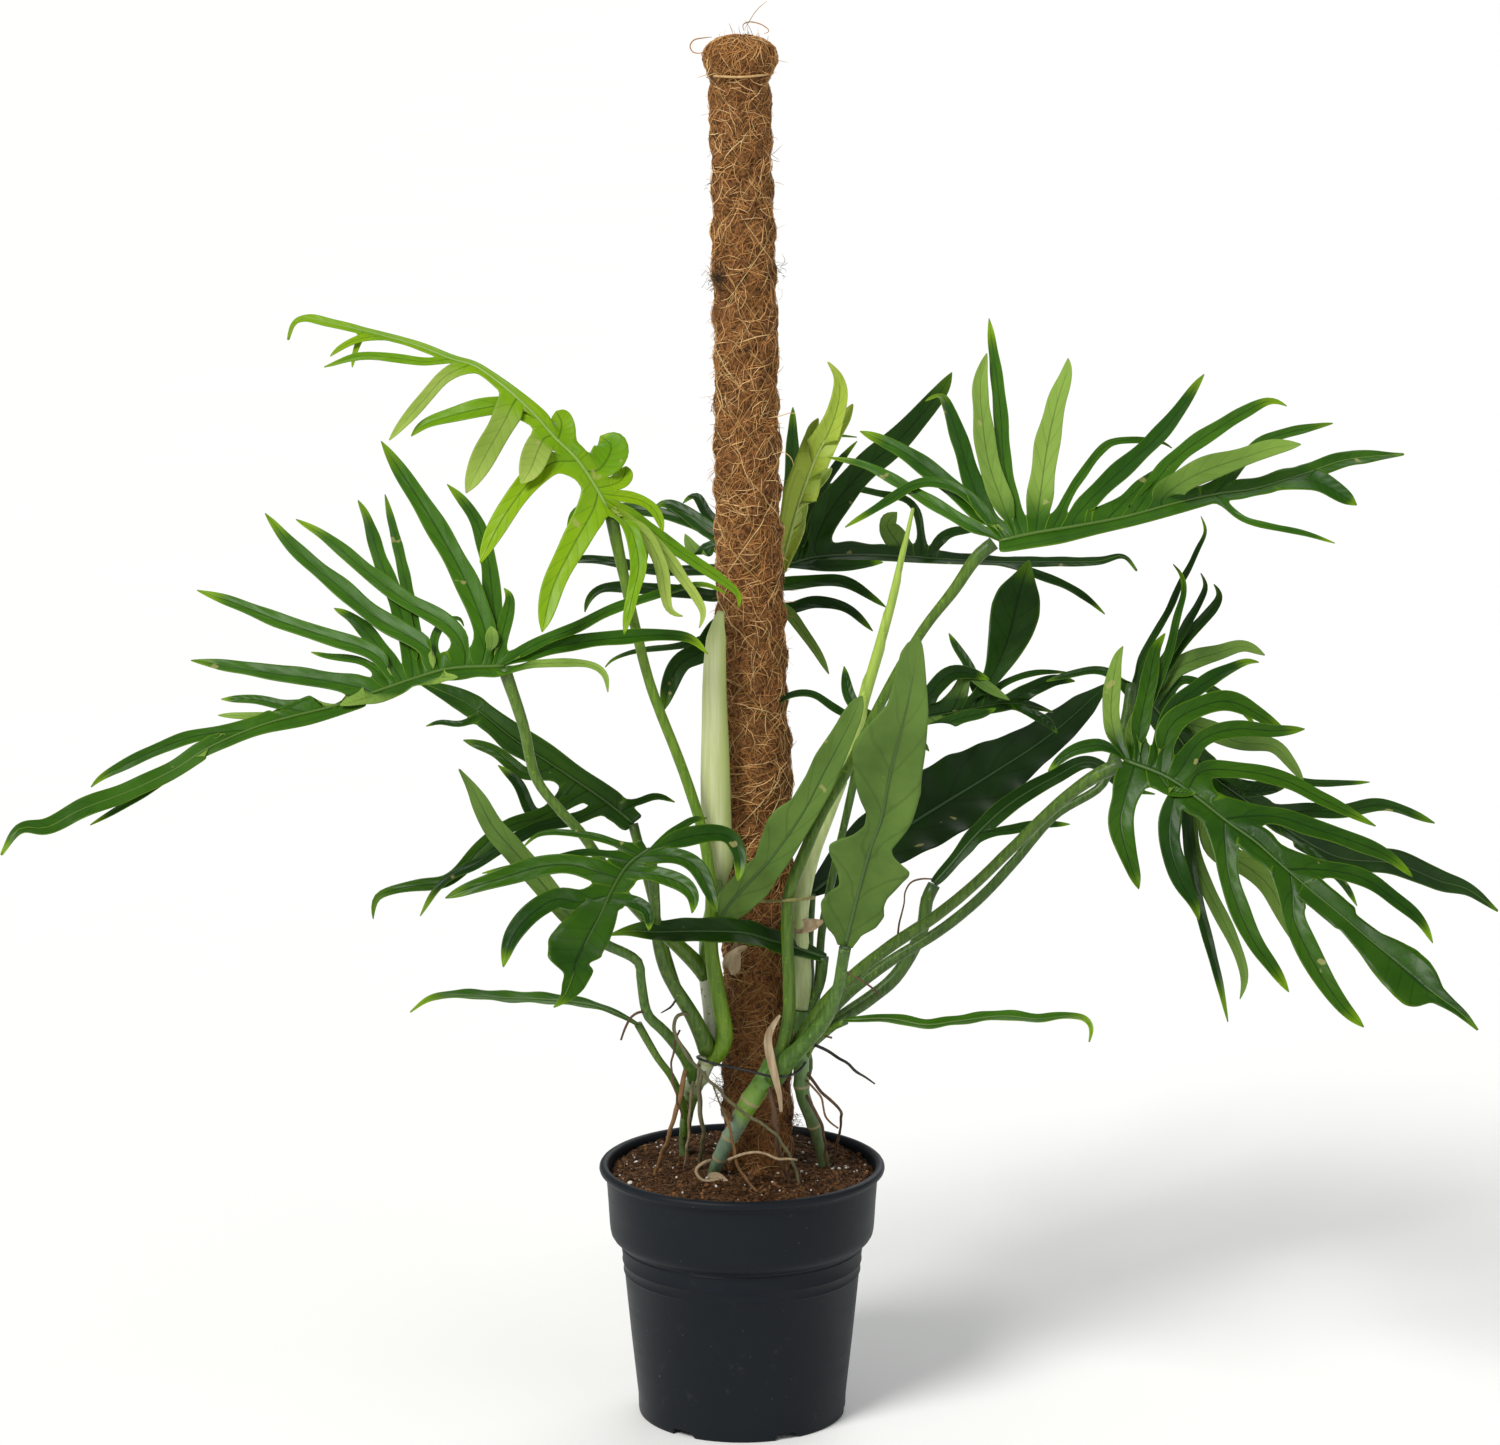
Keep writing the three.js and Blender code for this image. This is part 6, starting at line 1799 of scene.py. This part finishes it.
def wandering(chance, skin, count, rows, reach, lean, curl, lift, sink=0.6):
    """Curved lines that lie on a skin: they start in a range of rows and lean from its upward way."""
    steps = 5
    start = chance.uniform(rows[0], rows[1], count)
    turn = chance.uniform(0, 1, count)
    length = chance.uniform(reach[0], reach[1], count)
    lean = np.array([chance.choice(lean) for _ in range(count)]) + chance.normal(0, 0.45, count)
    bend = chance.uniform(-curl, curl, count)
    run = np.linspace(-0.5, 0.5, steps)[None, :] * length[:, None]
    angle = lean[:, None] + bend[:, None] * run
    step = length[:, None] / (steps - 1)
    aside = np.cumsum(np.sin(angle) * step, axis=1)
    up = np.cumsum(np.cos(angle) * step, axis=1)
    row_size = 2.75
    round_size = np.maximum(
        np.linalg.norm(skin.read(skin.places, start, turn)[:, :2], axis=1) / MM, 12
    ) * CIRCLE
    high = chance.uniform(lift[0], lift[1], count)[:, None] - sink * np.abs(np.linspace(-1, 1, steps)) ** 2
    high = high + chance.normal(0, 0.25, (count, steps))
    return skin.at(start[:, None] + up / row_size, turn[:, None] + aside / round_size[:, None], high * MM)


def stray_hairs(chance, skin, count, rows, reach):
    """Hairs that start in a skin and stand out from it."""
    start = chance.uniform(rows[0], rows[1], count)
    turn = chance.uniform(0, 1, count)
    foot = skin.at(start, turn, np.full(count, -0.5 * MM))
    out = skin.read(skin.normals, start, turn)
    way = out * chance.uniform(0.25, 1.0, (count, 1)) + chance.normal(0, 0.6, (count, 3))
    way /= np.linalg.norm(way, axis=1, keepdims=True)
    bend = chance.normal(0, 0.5, (count, 3))
    length = chance.uniform(reach[0], reach[1], count)[:, None, None] * MM
    share = np.linspace(0, 1, 5)[None, :, None]
    return foot[:, None, :] + (way[:, None, :] * share + bend[:, None, :] * share ** 2 * 0.7) * length


# Dark tangles of hair on the pole: how far down the view, the turn round the pole, size and number
TANGLES = [
    (277, 0.605, 7.0, 130), (268, 0.96, 8.0, 22), (186, 0.52, 4.0, 7), (409, 0.53, 4.0, 6),
    (1085, 0.56, 8.0, 60), (1120, 0.94, 8.0, 60),
]

# Single loops and hairs of the cap, by the places they pass
CAP_HAIRS = [
    (0.55, 0.35, [
        (712, 37, -8), (703, 38, -10), (694, 40, -11), (690, 46, -12), (693, 52, -12), (701, 53, -12),
        (706, 50, -10),
    ]),
    (0.5, 0.3, [
        (744, 31, 4), (743, 25, 2), (748, 22, 0), (757, 23, -2), (764, 26, -4), (769, 31, -6),
        (764, 34, -6),
    ]),
    (0.3, 0.3, [(744, 30, 2), (750, 20, 0), (756, 11, 0), (762, 5, 0), (767, 1, 0)]),
    (0.28, 0.3, [(733, 34, -8), (731, 28, -9), (729, 23, -10)]),
    (0.4, 0.8, [(768, 418, -26), (780, 416, -32), (790, 413, -36), (797, 414, -38)]),
    (0.35, 0.8, [(772, 455, -24), (783, 452, -30), (791, 458, -34), (794, 466, -34)]),
]


def make_pole():
    """Coir pole: a knobbly sleeve under thousands of loose fibres, wound with golden thread."""
    skin = pole_skin()
    rows, columns = skin.places.shape[:2]
    sheet = Sheet()
    marks = [[(0.0, row / rows, 0.0, 0.5)] * columns for row in range(rows)]
    sheet.grid(skin.places.tolist(), marks, closed=True)
    sheet.cap(0, columns, 0, True)
    sheet.cap((rows - 1) * columns, columns, 0, False)
    build = Looks("coir_core")
    fine = build.noise(330.0, 4.0)
    base = build.mix(build.step(fine, 0.3, 0.75), (0.045, 0.018, 0.005), (0.30, 0.13, 0.040))
    look = build.finish(base, 0.85, build.bump(build.plus(fine, build.noise(90.0, 3.0)), 0.9, 0.0022),
                        specular=0.2)
    finished(place_object("coir_core_wrapped", sheet.mesh("coir_core"), [look]), "coir", "pole_coir")

    chance = np.random.default_rng(41)
    coir = fibre_look("coir_fibre", (0.15, 0.055, 0.014), (0.57, 0.275, 0.086), (0.90, 0.61, 0.28))
    last = rows - 6
    leans = [0.72, -0.72, 0.75, -0.7, 0.1, 1.45]
    for name, count, tones in (
        ("coir_fibres_inner", 4300, (0.0, 0.6)), ("coir_fibres_outer", 3300, (0.25, 1.05))
    ):
        lift = (0.1, 0.8) if name.endswith("inner") else (0.5, 1.5)
        lines = wandering(chance, skin, count, (2, last), (12, 34), leans, 0.09, lift)
        tints = chance.uniform(*tones, count)
        data = bundle(name, lines, chance.uniform(0.16, 0.36, count) * MM, tints)
        finished(place_object(name, data, [coir]), "coir")
    lines = wandering(
        chance, skin, 420, (last - 22, last + 2), (24, 44), [0.0, 0.2, -0.2, 0.5, -0.5], 0.05,
        (0.6, 1.6)
    )
    hairs = stray_hairs(chance, skin, 1000, (4, rows - 3), (4, 11))
    data = bundle(
        "cap_fibres", lines, chance.uniform(0.17, 0.36, len(lines)) * MM,
        chance.uniform(0.0, 0.75, len(lines))
    )
    finished(place_object("cap_fibres", data, [coir]), "coir")
    data = bundle("coir_stray_hairs", hairs, chance.uniform(0.13, 0.28, len(hairs)) * MM,
                  chance.uniform(0.0, 0.8, len(hairs)))
    finished(place_object("coir_stray_hairs", data, [coir]), "coir")

    hair = fibre_look("dark_hair", (0.020, 0.012, 0.007), (0.06, 0.036, 0.020), (0.15, 0.095, 0.055))
    lines = []
    for down, turn, size, count in TANGLES:
        row = (seen(740, down, 0)[2] - POLE_FOOT) / (2.8 * MM)
        for _ in range(count):
            spot = (np.array([row + chance.normal(0, size * 0.2)]),
                    np.array([turn + chance.normal(0, size * 0.004)]))
            start = skin.at(*spot, np.array([0.2 * MM]))[0]
            out = skin.read(skin.normals, *spot)[0] * size * 0.14
            lines.append(start + np.cumsum(chance.normal(0, size * 0.26, (5, 3)) + out, axis=0) * MM)
    data = bundle(
        "dark_tangles", lines, chance.uniform(0.12, 0.26, len(lines)) * MM,
        chance.uniform(0, 1, len(lines))
    )
    finished(place_object("dark_tangles", data, [hair]), "coir")

    golden = fibre_look("golden_strand", (0.20, 0.10, 0.03), (0.42, 0.26, 0.09), (0.74, 0.55, 0.26))
    lines = []
    climb = np.arange(1, last - 10, 1.6)
    for start in range(THREADS["starts"]):
        for way in (1, -1):
            turn = (start + 0.5 * (way < 0)) / THREADS["starts"]
            height = skin.places[0, 0, 2] / MM + climb * 2.75
            sway = 0.016 * np.sin(climb * 0.11 + start * 1.7) + 0.011 * np.sin(climb * 0.047 + start + way)
            turns = way * (turn - height / THREADS["pitch"]) + sway
            lift = 0.2 + 1.1 * np.sin(climb * 0.16 + start * 2.1 + way) + chance.normal(0, 0.25, len(climb))
            lines.append(skin.at(climb, turns, lift * MM))
    data = bundle(
        "golden_windings", lines, [THREADS["radius"] * MM] * len(lines),
        chance.uniform(0.3, 1, len(lines)), 5
    )
    finished(place_object("golden_windings", data, [golden]), "golden_thread")
    straw = wandering(chance, skin, 110, (4, last), (12, 34), [-0.72, -0.72, 0.72], 0.03, (1.2, 2.0), 0.9)
    data = bundle("golden_straw", straw, chance.uniform(0.20, 0.42, len(straw)) * MM,
                  chance.uniform(0.6, 1.1, len(straw)), 5)
    finished(place_object("golden_straw", data, [golden]), "golden_thread")
    for index, (radius, tint, places) in enumerate(CAP_HAIRS):
        path = route(places)
        line = [path.at(path.length * step / 24) for step in range(25)]
        data = bundle("pole_hair", [line], [radius * MM], [tint], 6)
        finished(place_object("pole_hair_" + str(index), data, [golden if tint > 0.5 else coir]), "coir")

    build = Looks("stake_wood")
    streaks = build.noise(30.0, 5.0, vector=build.stretched((9.0, 9.0, 0.5)))
    base = build.mix(build.step(streaks, 0.3, 0.7), (0.22, 0.13, 0.06), (0.42, 0.28, 0.14))
    wood = build.finish(base, 0.7, build.bump(streaks, 0.4, 0.001))
    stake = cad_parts["pole_stake"].data
    stake.materials.clear()
    stake.materials.append(wood)


def soil_height(x, y):
    """Height of the potting mix, which is heaped towards the middle and the back."""
    far = math.hypot(x, y) / (SOIL["radius"] * MM)
    heap = (SOIL["edge"] + (SOIL["middle"] - SOIL["edge"]) * (1 - far * far)
            + 5.0 * smooth(0.1, 1.0, y / 0.1) + 1.0)
    place = Vector((x, y, 0.0))
    lumps = noise.noise(place * 42) * 2.4 + noise.noise(place * 120) * 1.7 + noise.noise(place * 330) * 1.0
    return (heap + lumps - 0.6) * MM


def lumps(name, places, sizes, chance, rough=0.35, smoothed=True):
    """Small angular grains, one at each place."""
    work = bmesh.new()
    bmesh.ops.create_icosphere(work, subdivisions=1, radius=1.0)
    corners = np.array([corner.co[:] for corner in work.verts])
    faces = np.array([[corner.index for corner in face.verts] for face in work.faces])
    work.free()
    count = len(places)
    shape = corners[None] * (1 + chance.uniform(-rough, rough, (count, len(corners), 1)))
    shape = shape * chance.uniform(0.55, 1.3, (count, 1, 3)) * np.array(sizes)[:, None, None]
    turn, _ = np.linalg.qr(chance.normal(0, 1, (count, 3, 3)))
    turn[:, :, 0] *= np.sign(np.linalg.det(turn))[:, None]
    shape = np.einsum("nij,nkj->nki", turn, shape) + np.array(places)[:, None, :]
    all_faces = (faces[None] + (np.arange(count) * len(corners))[:, None, None]).reshape(-1, 3)
    data = bpy.data.meshes.new(name)
    data.from_pydata(shape.reshape(-1, 3).tolist(), [], all_faces.tolist())
    layer = data.attributes.new("tint", "FLOAT", "POINT")
    layer.data.foreach_set("value", np.repeat(chance.uniform(0, 1, count), len(corners)))
    data.polygons.foreach_set("use_smooth", [smoothed] * len(all_faces))
    return data


def on_soil(chance, count, inner=0.0, outer=1.0):
    """Random places on the potting mix, between two shares of its radius."""
    angle = chance.uniform(0, CIRCLE, count)
    far = np.sqrt(chance.uniform(inner ** 2, outer ** 2, count)) * (SOIL["radius"] - 0.8) * MM
    x = np.cos(angle) * far
    y = np.sin(angle) * far
    return np.array([(a, b, soil_height(a, b)) for a, b in zip(x, y)])


def make_soil():
    """Potting mix: an uneven crumbly surface with grains, coir scraps and white perlite."""
    rings, columns = 84, 200
    rows = []
    for ring in range(rings + 1):
        far = SOIL["radius"] * MM * (1 - ring / rings * 0.999)
        row = []
        for column in range(columns):
            angle = column / columns * CIRCLE
            x, y = math.cos(angle) * far, math.sin(angle) * far
            row.append((x, y, soil_height(x, y)))
        rows.append(row)
    sheet = Sheet()
    sheet.grid([[(x * 0.965, y * 0.965, 0.164) for x, y, _ in rows[0]]] + rows,
               [[(0.0, 0.0, 0.0, 0.5)] * columns] * (rings + 2),
               closed=True)
    sheet.cap(0, columns, 0, True)
    sheet.cap((rings + 1) * columns, columns, 0, False)
    build = Looks("potting_mix")
    coarse = build.noise(110.0, 5.0, 0.65)
    fine = build.noise(420.0, 3.0)
    base = build.mix(build.step(coarse, 0.32, 0.68), (0.015, 0.0065, 0.0024), (0.130, 0.056, 0.021))
    base = build.mix(build.times(build.step(fine, 0.55, 0.75), 0.5), base, (0.38, 0.20, 0.09))
    height = build.plus(coarse, build.times(fine, 0.6))
    look = build.finish(base, 0.9, build.bump(height, 0.9, 0.003), specular=0.15)
    finished(place_object("potting_mix_heap", sheet.mesh("potting_mix"), [look]), "soil", "soil")

    chance = np.random.default_rng(57)
    build = Looks("soil_crumb")
    base = build.mix(build.mark("tint"), (0.014, 0.006, 0.0022), (0.26, 0.125, 0.052))
    base = build.mix(build.times(build.noise(500.0), 0.5), base, (0.05, 0.022, 0.010))
    crumb = build.finish(base, 0.9, build.bump(build.noise(700.0, 3.0), 0.7, 0.0012), specular=0.15)
    places = on_soil(chance, 2300)
    sizes = (0.6 + 2.0 * chance.uniform(0, 1, len(places)) ** 3) * MM
    places[:, 2] += sizes * 0.25
    finished(place_object("soil_crumbs", lumps("soil_crumbs", places, sizes, chance), [crumb]), "soil")

    build = Looks("perlite")
    base = build.mix(build.noise(600.0, 3.0), (0.55, 0.52, 0.46), (0.86, 0.85, 0.82))
    white = build.finish(base, 0.75, build.bump(build.noise(900.0, 3.0), 0.6, 0.0008))
    places = np.concatenate([on_soil(chance, 110), on_soil(chance, 60, 0.78, 0.99)])
    sizes = (0.5 + 1.5 * chance.uniform(0, 1, len(places)) ** 2) * MM
    places[:, 2] += sizes * 0.45
    data = lumps("perlite_grains", places, sizes, chance, 0.3, False)
    finished(place_object("perlite_grains", data, [white]), "soil")

    count = 2500
    middle = on_soil(chance, count, 0.0, 0.985)
    angle = chance.uniform(0, CIRCLE, count)
    bend = chance.uniform(-0.14, 0.14, count)
    length = chance.uniform(5, 19, count)
    share = np.linspace(-0.5, 0.5, 5)
    run = share[None, :] * length[:, None]
    way = angle[:, None] + bend[:, None] * run
    x = middle[:, 0:1] + np.cumsum(np.cos(way), axis=1) * (length[:, None] / 4) * MM
    y = middle[:, 1:2] + np.cumsum(np.sin(way), axis=1) * (length[:, None] / 4) * MM
    far = np.maximum(np.hypot(x, y) / ((SOIL["radius"] - 0.6) * MM), 1.0)
    x, y = x / far, y / far
    z = np.array([[soil_height(a, b) for a, b in zip(xs, ys)] for xs, ys in zip(x, y)])
    rise = chance.uniform(0.1, 1.6, count)[:, None] * (1 - 2.6 * share[None, :] ** 2)
    lines = np.stack([x, y, z + rise * MM], axis=2)
    # These scraps lie below 0.27 m, so the fibre look darkens them fully with its painted shade
    scrap = fibre_look("soil_scrap", (0.028, 0.011, 0.004), (0.19, 0.088, 0.032), (0.50, 0.30, 0.13))
    data = bundle(
        "soil_scraps", lines, chance.uniform(0.16, 0.42, count) * MM,
        chance.uniform(0, 0.9, count) ** 1.4
    )
    finished(place_object("soil_scraps", data, [scrap]), "soil")


def pot_profile():
    """Half section of the pot's wall, from under its floor up the outside and down the inside."""
    bead = 3.9
    ring = [(POT["rim"] - bead, POT["height"] - bead)]
    top = [(ring[0][0] + bead * math.cos(angle), ring[0][1] + bead * math.sin(angle))
           for angle in np.radians(np.arange(-80, 171, 25))]
    low = POT["shoulder_low"]
    outer = [
        (0.01, 6.0), (POT["under"] - 0.6, 6.0), (POT["under"], 5.2),
        (POT["under"], 0.4), (POT["under"] + 0.4, 0.0),
        (POT["foot"] - 1.6, 0.0), (POT["foot"] - 0.8, 0.7), (POT["foot"] - 0.3, 3.0), (
            POT["foot"], POT["foot_high"]
        ),
        (93.9, 70), (99.0, 122.6),
    ]
    for height, radius in ((125.0, 99.4), (134.0, 100.4), (146.8, 101.8)):
        outer += [
            (radius, height - 1.2), (radius + 0.55, height - 0.7), (radius + 0.6, height),
            (radius + 0.05, height + 0.9)
        ]
    outer += [
        (POT["shoulder"], low), (103.2, low + 1.0), (105.6, low + 2.6),
        (108.4, low + 5.2), (110.3, low + 8.4),
        (POT["collar_bottom"], POT["collar_low"] + 1), (
            POT["collar_bottom"] + 0.5, POT["collar_low"] + 6
        ), (112.6, 185),
        (POT["collar"], 205), (POT["collar"] + 0.3, 208), (POT["collar"] + 1.2, 208.9),
    ]
    inner = [(POT["collar"] - POT["wall"] + 0.3, 210), (POT["collar"] - POT["wall"], 204),
             (108.6, 162), (100.4, 148),
             (86.0, 14), (84.0, 9), (0.01, 9)]
    return outer + top + inner


def make_pot():
    """Moulded nursery pot, with drain notches cut in its bottom edge."""
    half = POT["notch_width"] / 2 / POT["foot"]
    shape = [(-half, 0.0), (-half + 0.012, 1.0), (-half + 0.1, 1.0), (half - 0.055, 0.9), (half, 0.0)]
    turns = set(np.round(np.linspace(-math.pi, math.pi, 241)[:-1], 6))
    notches = []
    for index in range(POT["notches"]):
        middle = math.radians(-124) + index * CIRCLE / POT["notches"]
        notches.append((middle + math.pi) % CIRCLE - math.pi)
        turns -= {turn for turn in turns if abs(turn - notches[-1]) < half * 1.1}
        turns |= {round(notches[-1] + aside, 6) for aside, _ in shape}
        turns |= {round(notches[-1] + half * step, 6) for step in (-0.5, -0.25, 0.0, 0.25, 0.5)}
    turns = sorted(turns)
    rise = []
    for turn in turns:
        near = min(notches, key=lambda middle: abs(turn - middle))
        rise.append(float(np.interp(
            turn - near, [a for a, _ in shape], [b for _, b in shape]
        )) * POT["notch_height"])
    rows = []
    for radius, height in pot_profile():
        row = []
        for turn, lift in zip(turns, rise):
            near_foot = radius > POT["under"] - 0.1 and height < POT["foot_high"] - 5
            raised = max(height, lift) if near_foot else height
            row.append((radius * math.cos(turn) * MM, radius * math.sin(turn) * MM, raised * MM))
        rows.append(row)
    sheet = Sheet()
    sheet.grid(rows, [[(0.0, 0.0, 0.0, 0.5)] * len(turns)] * len(rows), closed=True)
    data = sheet.mesh("pot_moulded")
    work = bmesh.new()
    work.from_mesh(data)
    bmesh.ops.remove_doubles(work, verts=work.verts, dist=0.03 * MM)
    bmesh.ops.recalc_face_normals(work, faces=work.faces)
    work.to_mesh(data)
    work.free()
    data.set_sharp_from_angle(angle=math.radians(40))
    build = Looks("pot_plastic")
    cloud = build.noise(9.0, 4.0)
    streaks = build.noise(14.0, 3.0, vector=build.stretched((1.0, 1.0, 9.0)))
    base = build.mix(cloud, (0.0058, 0.0078, 0.0108), (0.0100, 0.0130, 0.0168))
    dust = build.times(build.step(build.noise(70.0, 5.0, 0.7), 0.60, 0.80), 0.10)
    base = build.mix(dust, base, (0.16, 0.15, 0.13))
    fleck = build.step(build.noise(420.0, 2.0), 0.76, 0.80)
    base = build.mix(build.times(fleck, 0.5), base, (0.35, 0.32, 0.28))
    gloss = build.plus(build.step(cloud, 0.3, 0.7, 0.36, 0.46), build.times(streaks, 0.08))
    height = build.plus(build.times(build.noise(1100.0, 2.0), 0.25), build.times(streaks, 0.5))
    look = build.finish(base, gloss, build.bump(height, 0.25, 0.0006), specular=0.12)
    finished(place_object("pot_moulded", data, [look]), "pot", "pot")


def distant_light(name, place, spread, power, tone=(1.0, 1.0, 1.0)):
    """Wide soft light that shines from a place towards the plant, evenly over the whole floor."""
    data = bpy.data.lights.new(name, "SUN")
    data.angle = math.radians(spread)
    data.energy = power
    data.color = tone
    lamp = bpy.data.objects.new(name, data)
    lamp.location = place
    lamp.rotation_euler = (Vector((0, 0, 0.6)) - Vector(place)).to_track_quat("-Z", "Y").to_euler()
    bpy.context.scene.collection.objects.link(lamp)


def make_stage():
    """Pale floor, soft studio lights, and a camera at the view in which the plant was read."""
    build = Looks("floor_pale")
    cloud = build.noise(1.2, 3.0)
    base = build.mix(cloud, (0.87, 0.87, 0.86), (0.90, 0.90, 0.89))
    look = build.finish(base, 0.75, build.bump(build.noise(60.0, 4.0), 0.05, 0.002))
    data = bpy.data.meshes.new("floor")
    reach = 150.0
    data.from_pydata([(-reach, -reach, 0), (reach, -reach, 0), (reach, reach, 0), (-reach, reach, 0)], [],
                     [(0, 1, 2, 3)])
    place_object("floor", data, [look])

    distant_light("key_light", (-1.6, -2.0, 3.0), 22, 2.8, (1.0, 0.985, 0.96))
    distant_light("fill_light", (2.6, -1.8, 1.6), 60, 0.55, (0.96, 0.98, 1.0))
    distant_light("back_light", (0.8, 2.4, 2.6), 45, 0.8)
    world = bpy.data.worlds.new("room")
    world.use_nodes = True
    world.node_tree.nodes["Background"].inputs["Color"].default_value = (0.98, 0.99, 1.0, 1.0)
    world.node_tree.nodes["Background"].inputs["Strength"].default_value = 0.36
    bpy.context.scene.world = world

    data = bpy.data.cameras.new("view")
    data.sensor_width = 36
    data.lens = VIEW["focal"] / PICTURE[0] * data.sensor_width
    data.clip_end = 400
    camera = bpy.data.objects.new("view", data)
    camera.location = (VIEW["side"] * MM, -VIEW["distance"] * MM, VIEW["height"] * MM)
    camera.rotation_euler = (math.pi / 2 - VIEW["tilt"], 0, 0)
    bpy.context.scene.collection.objects.link(camera)
    bpy.context.scene.camera = camera
    bpy.context.scene.view_settings.view_transform = "Standard"


for node, leaf in LEAVES.items():
    make_leaf(node, leaf)
for node, stem in STEMS.items():
    make_stem(node, stem)
make_sheath()
make_spike()
make_bracts()
make_roots()
make_ties()
make_pole()
make_soil()
make_pot()
make_stage()
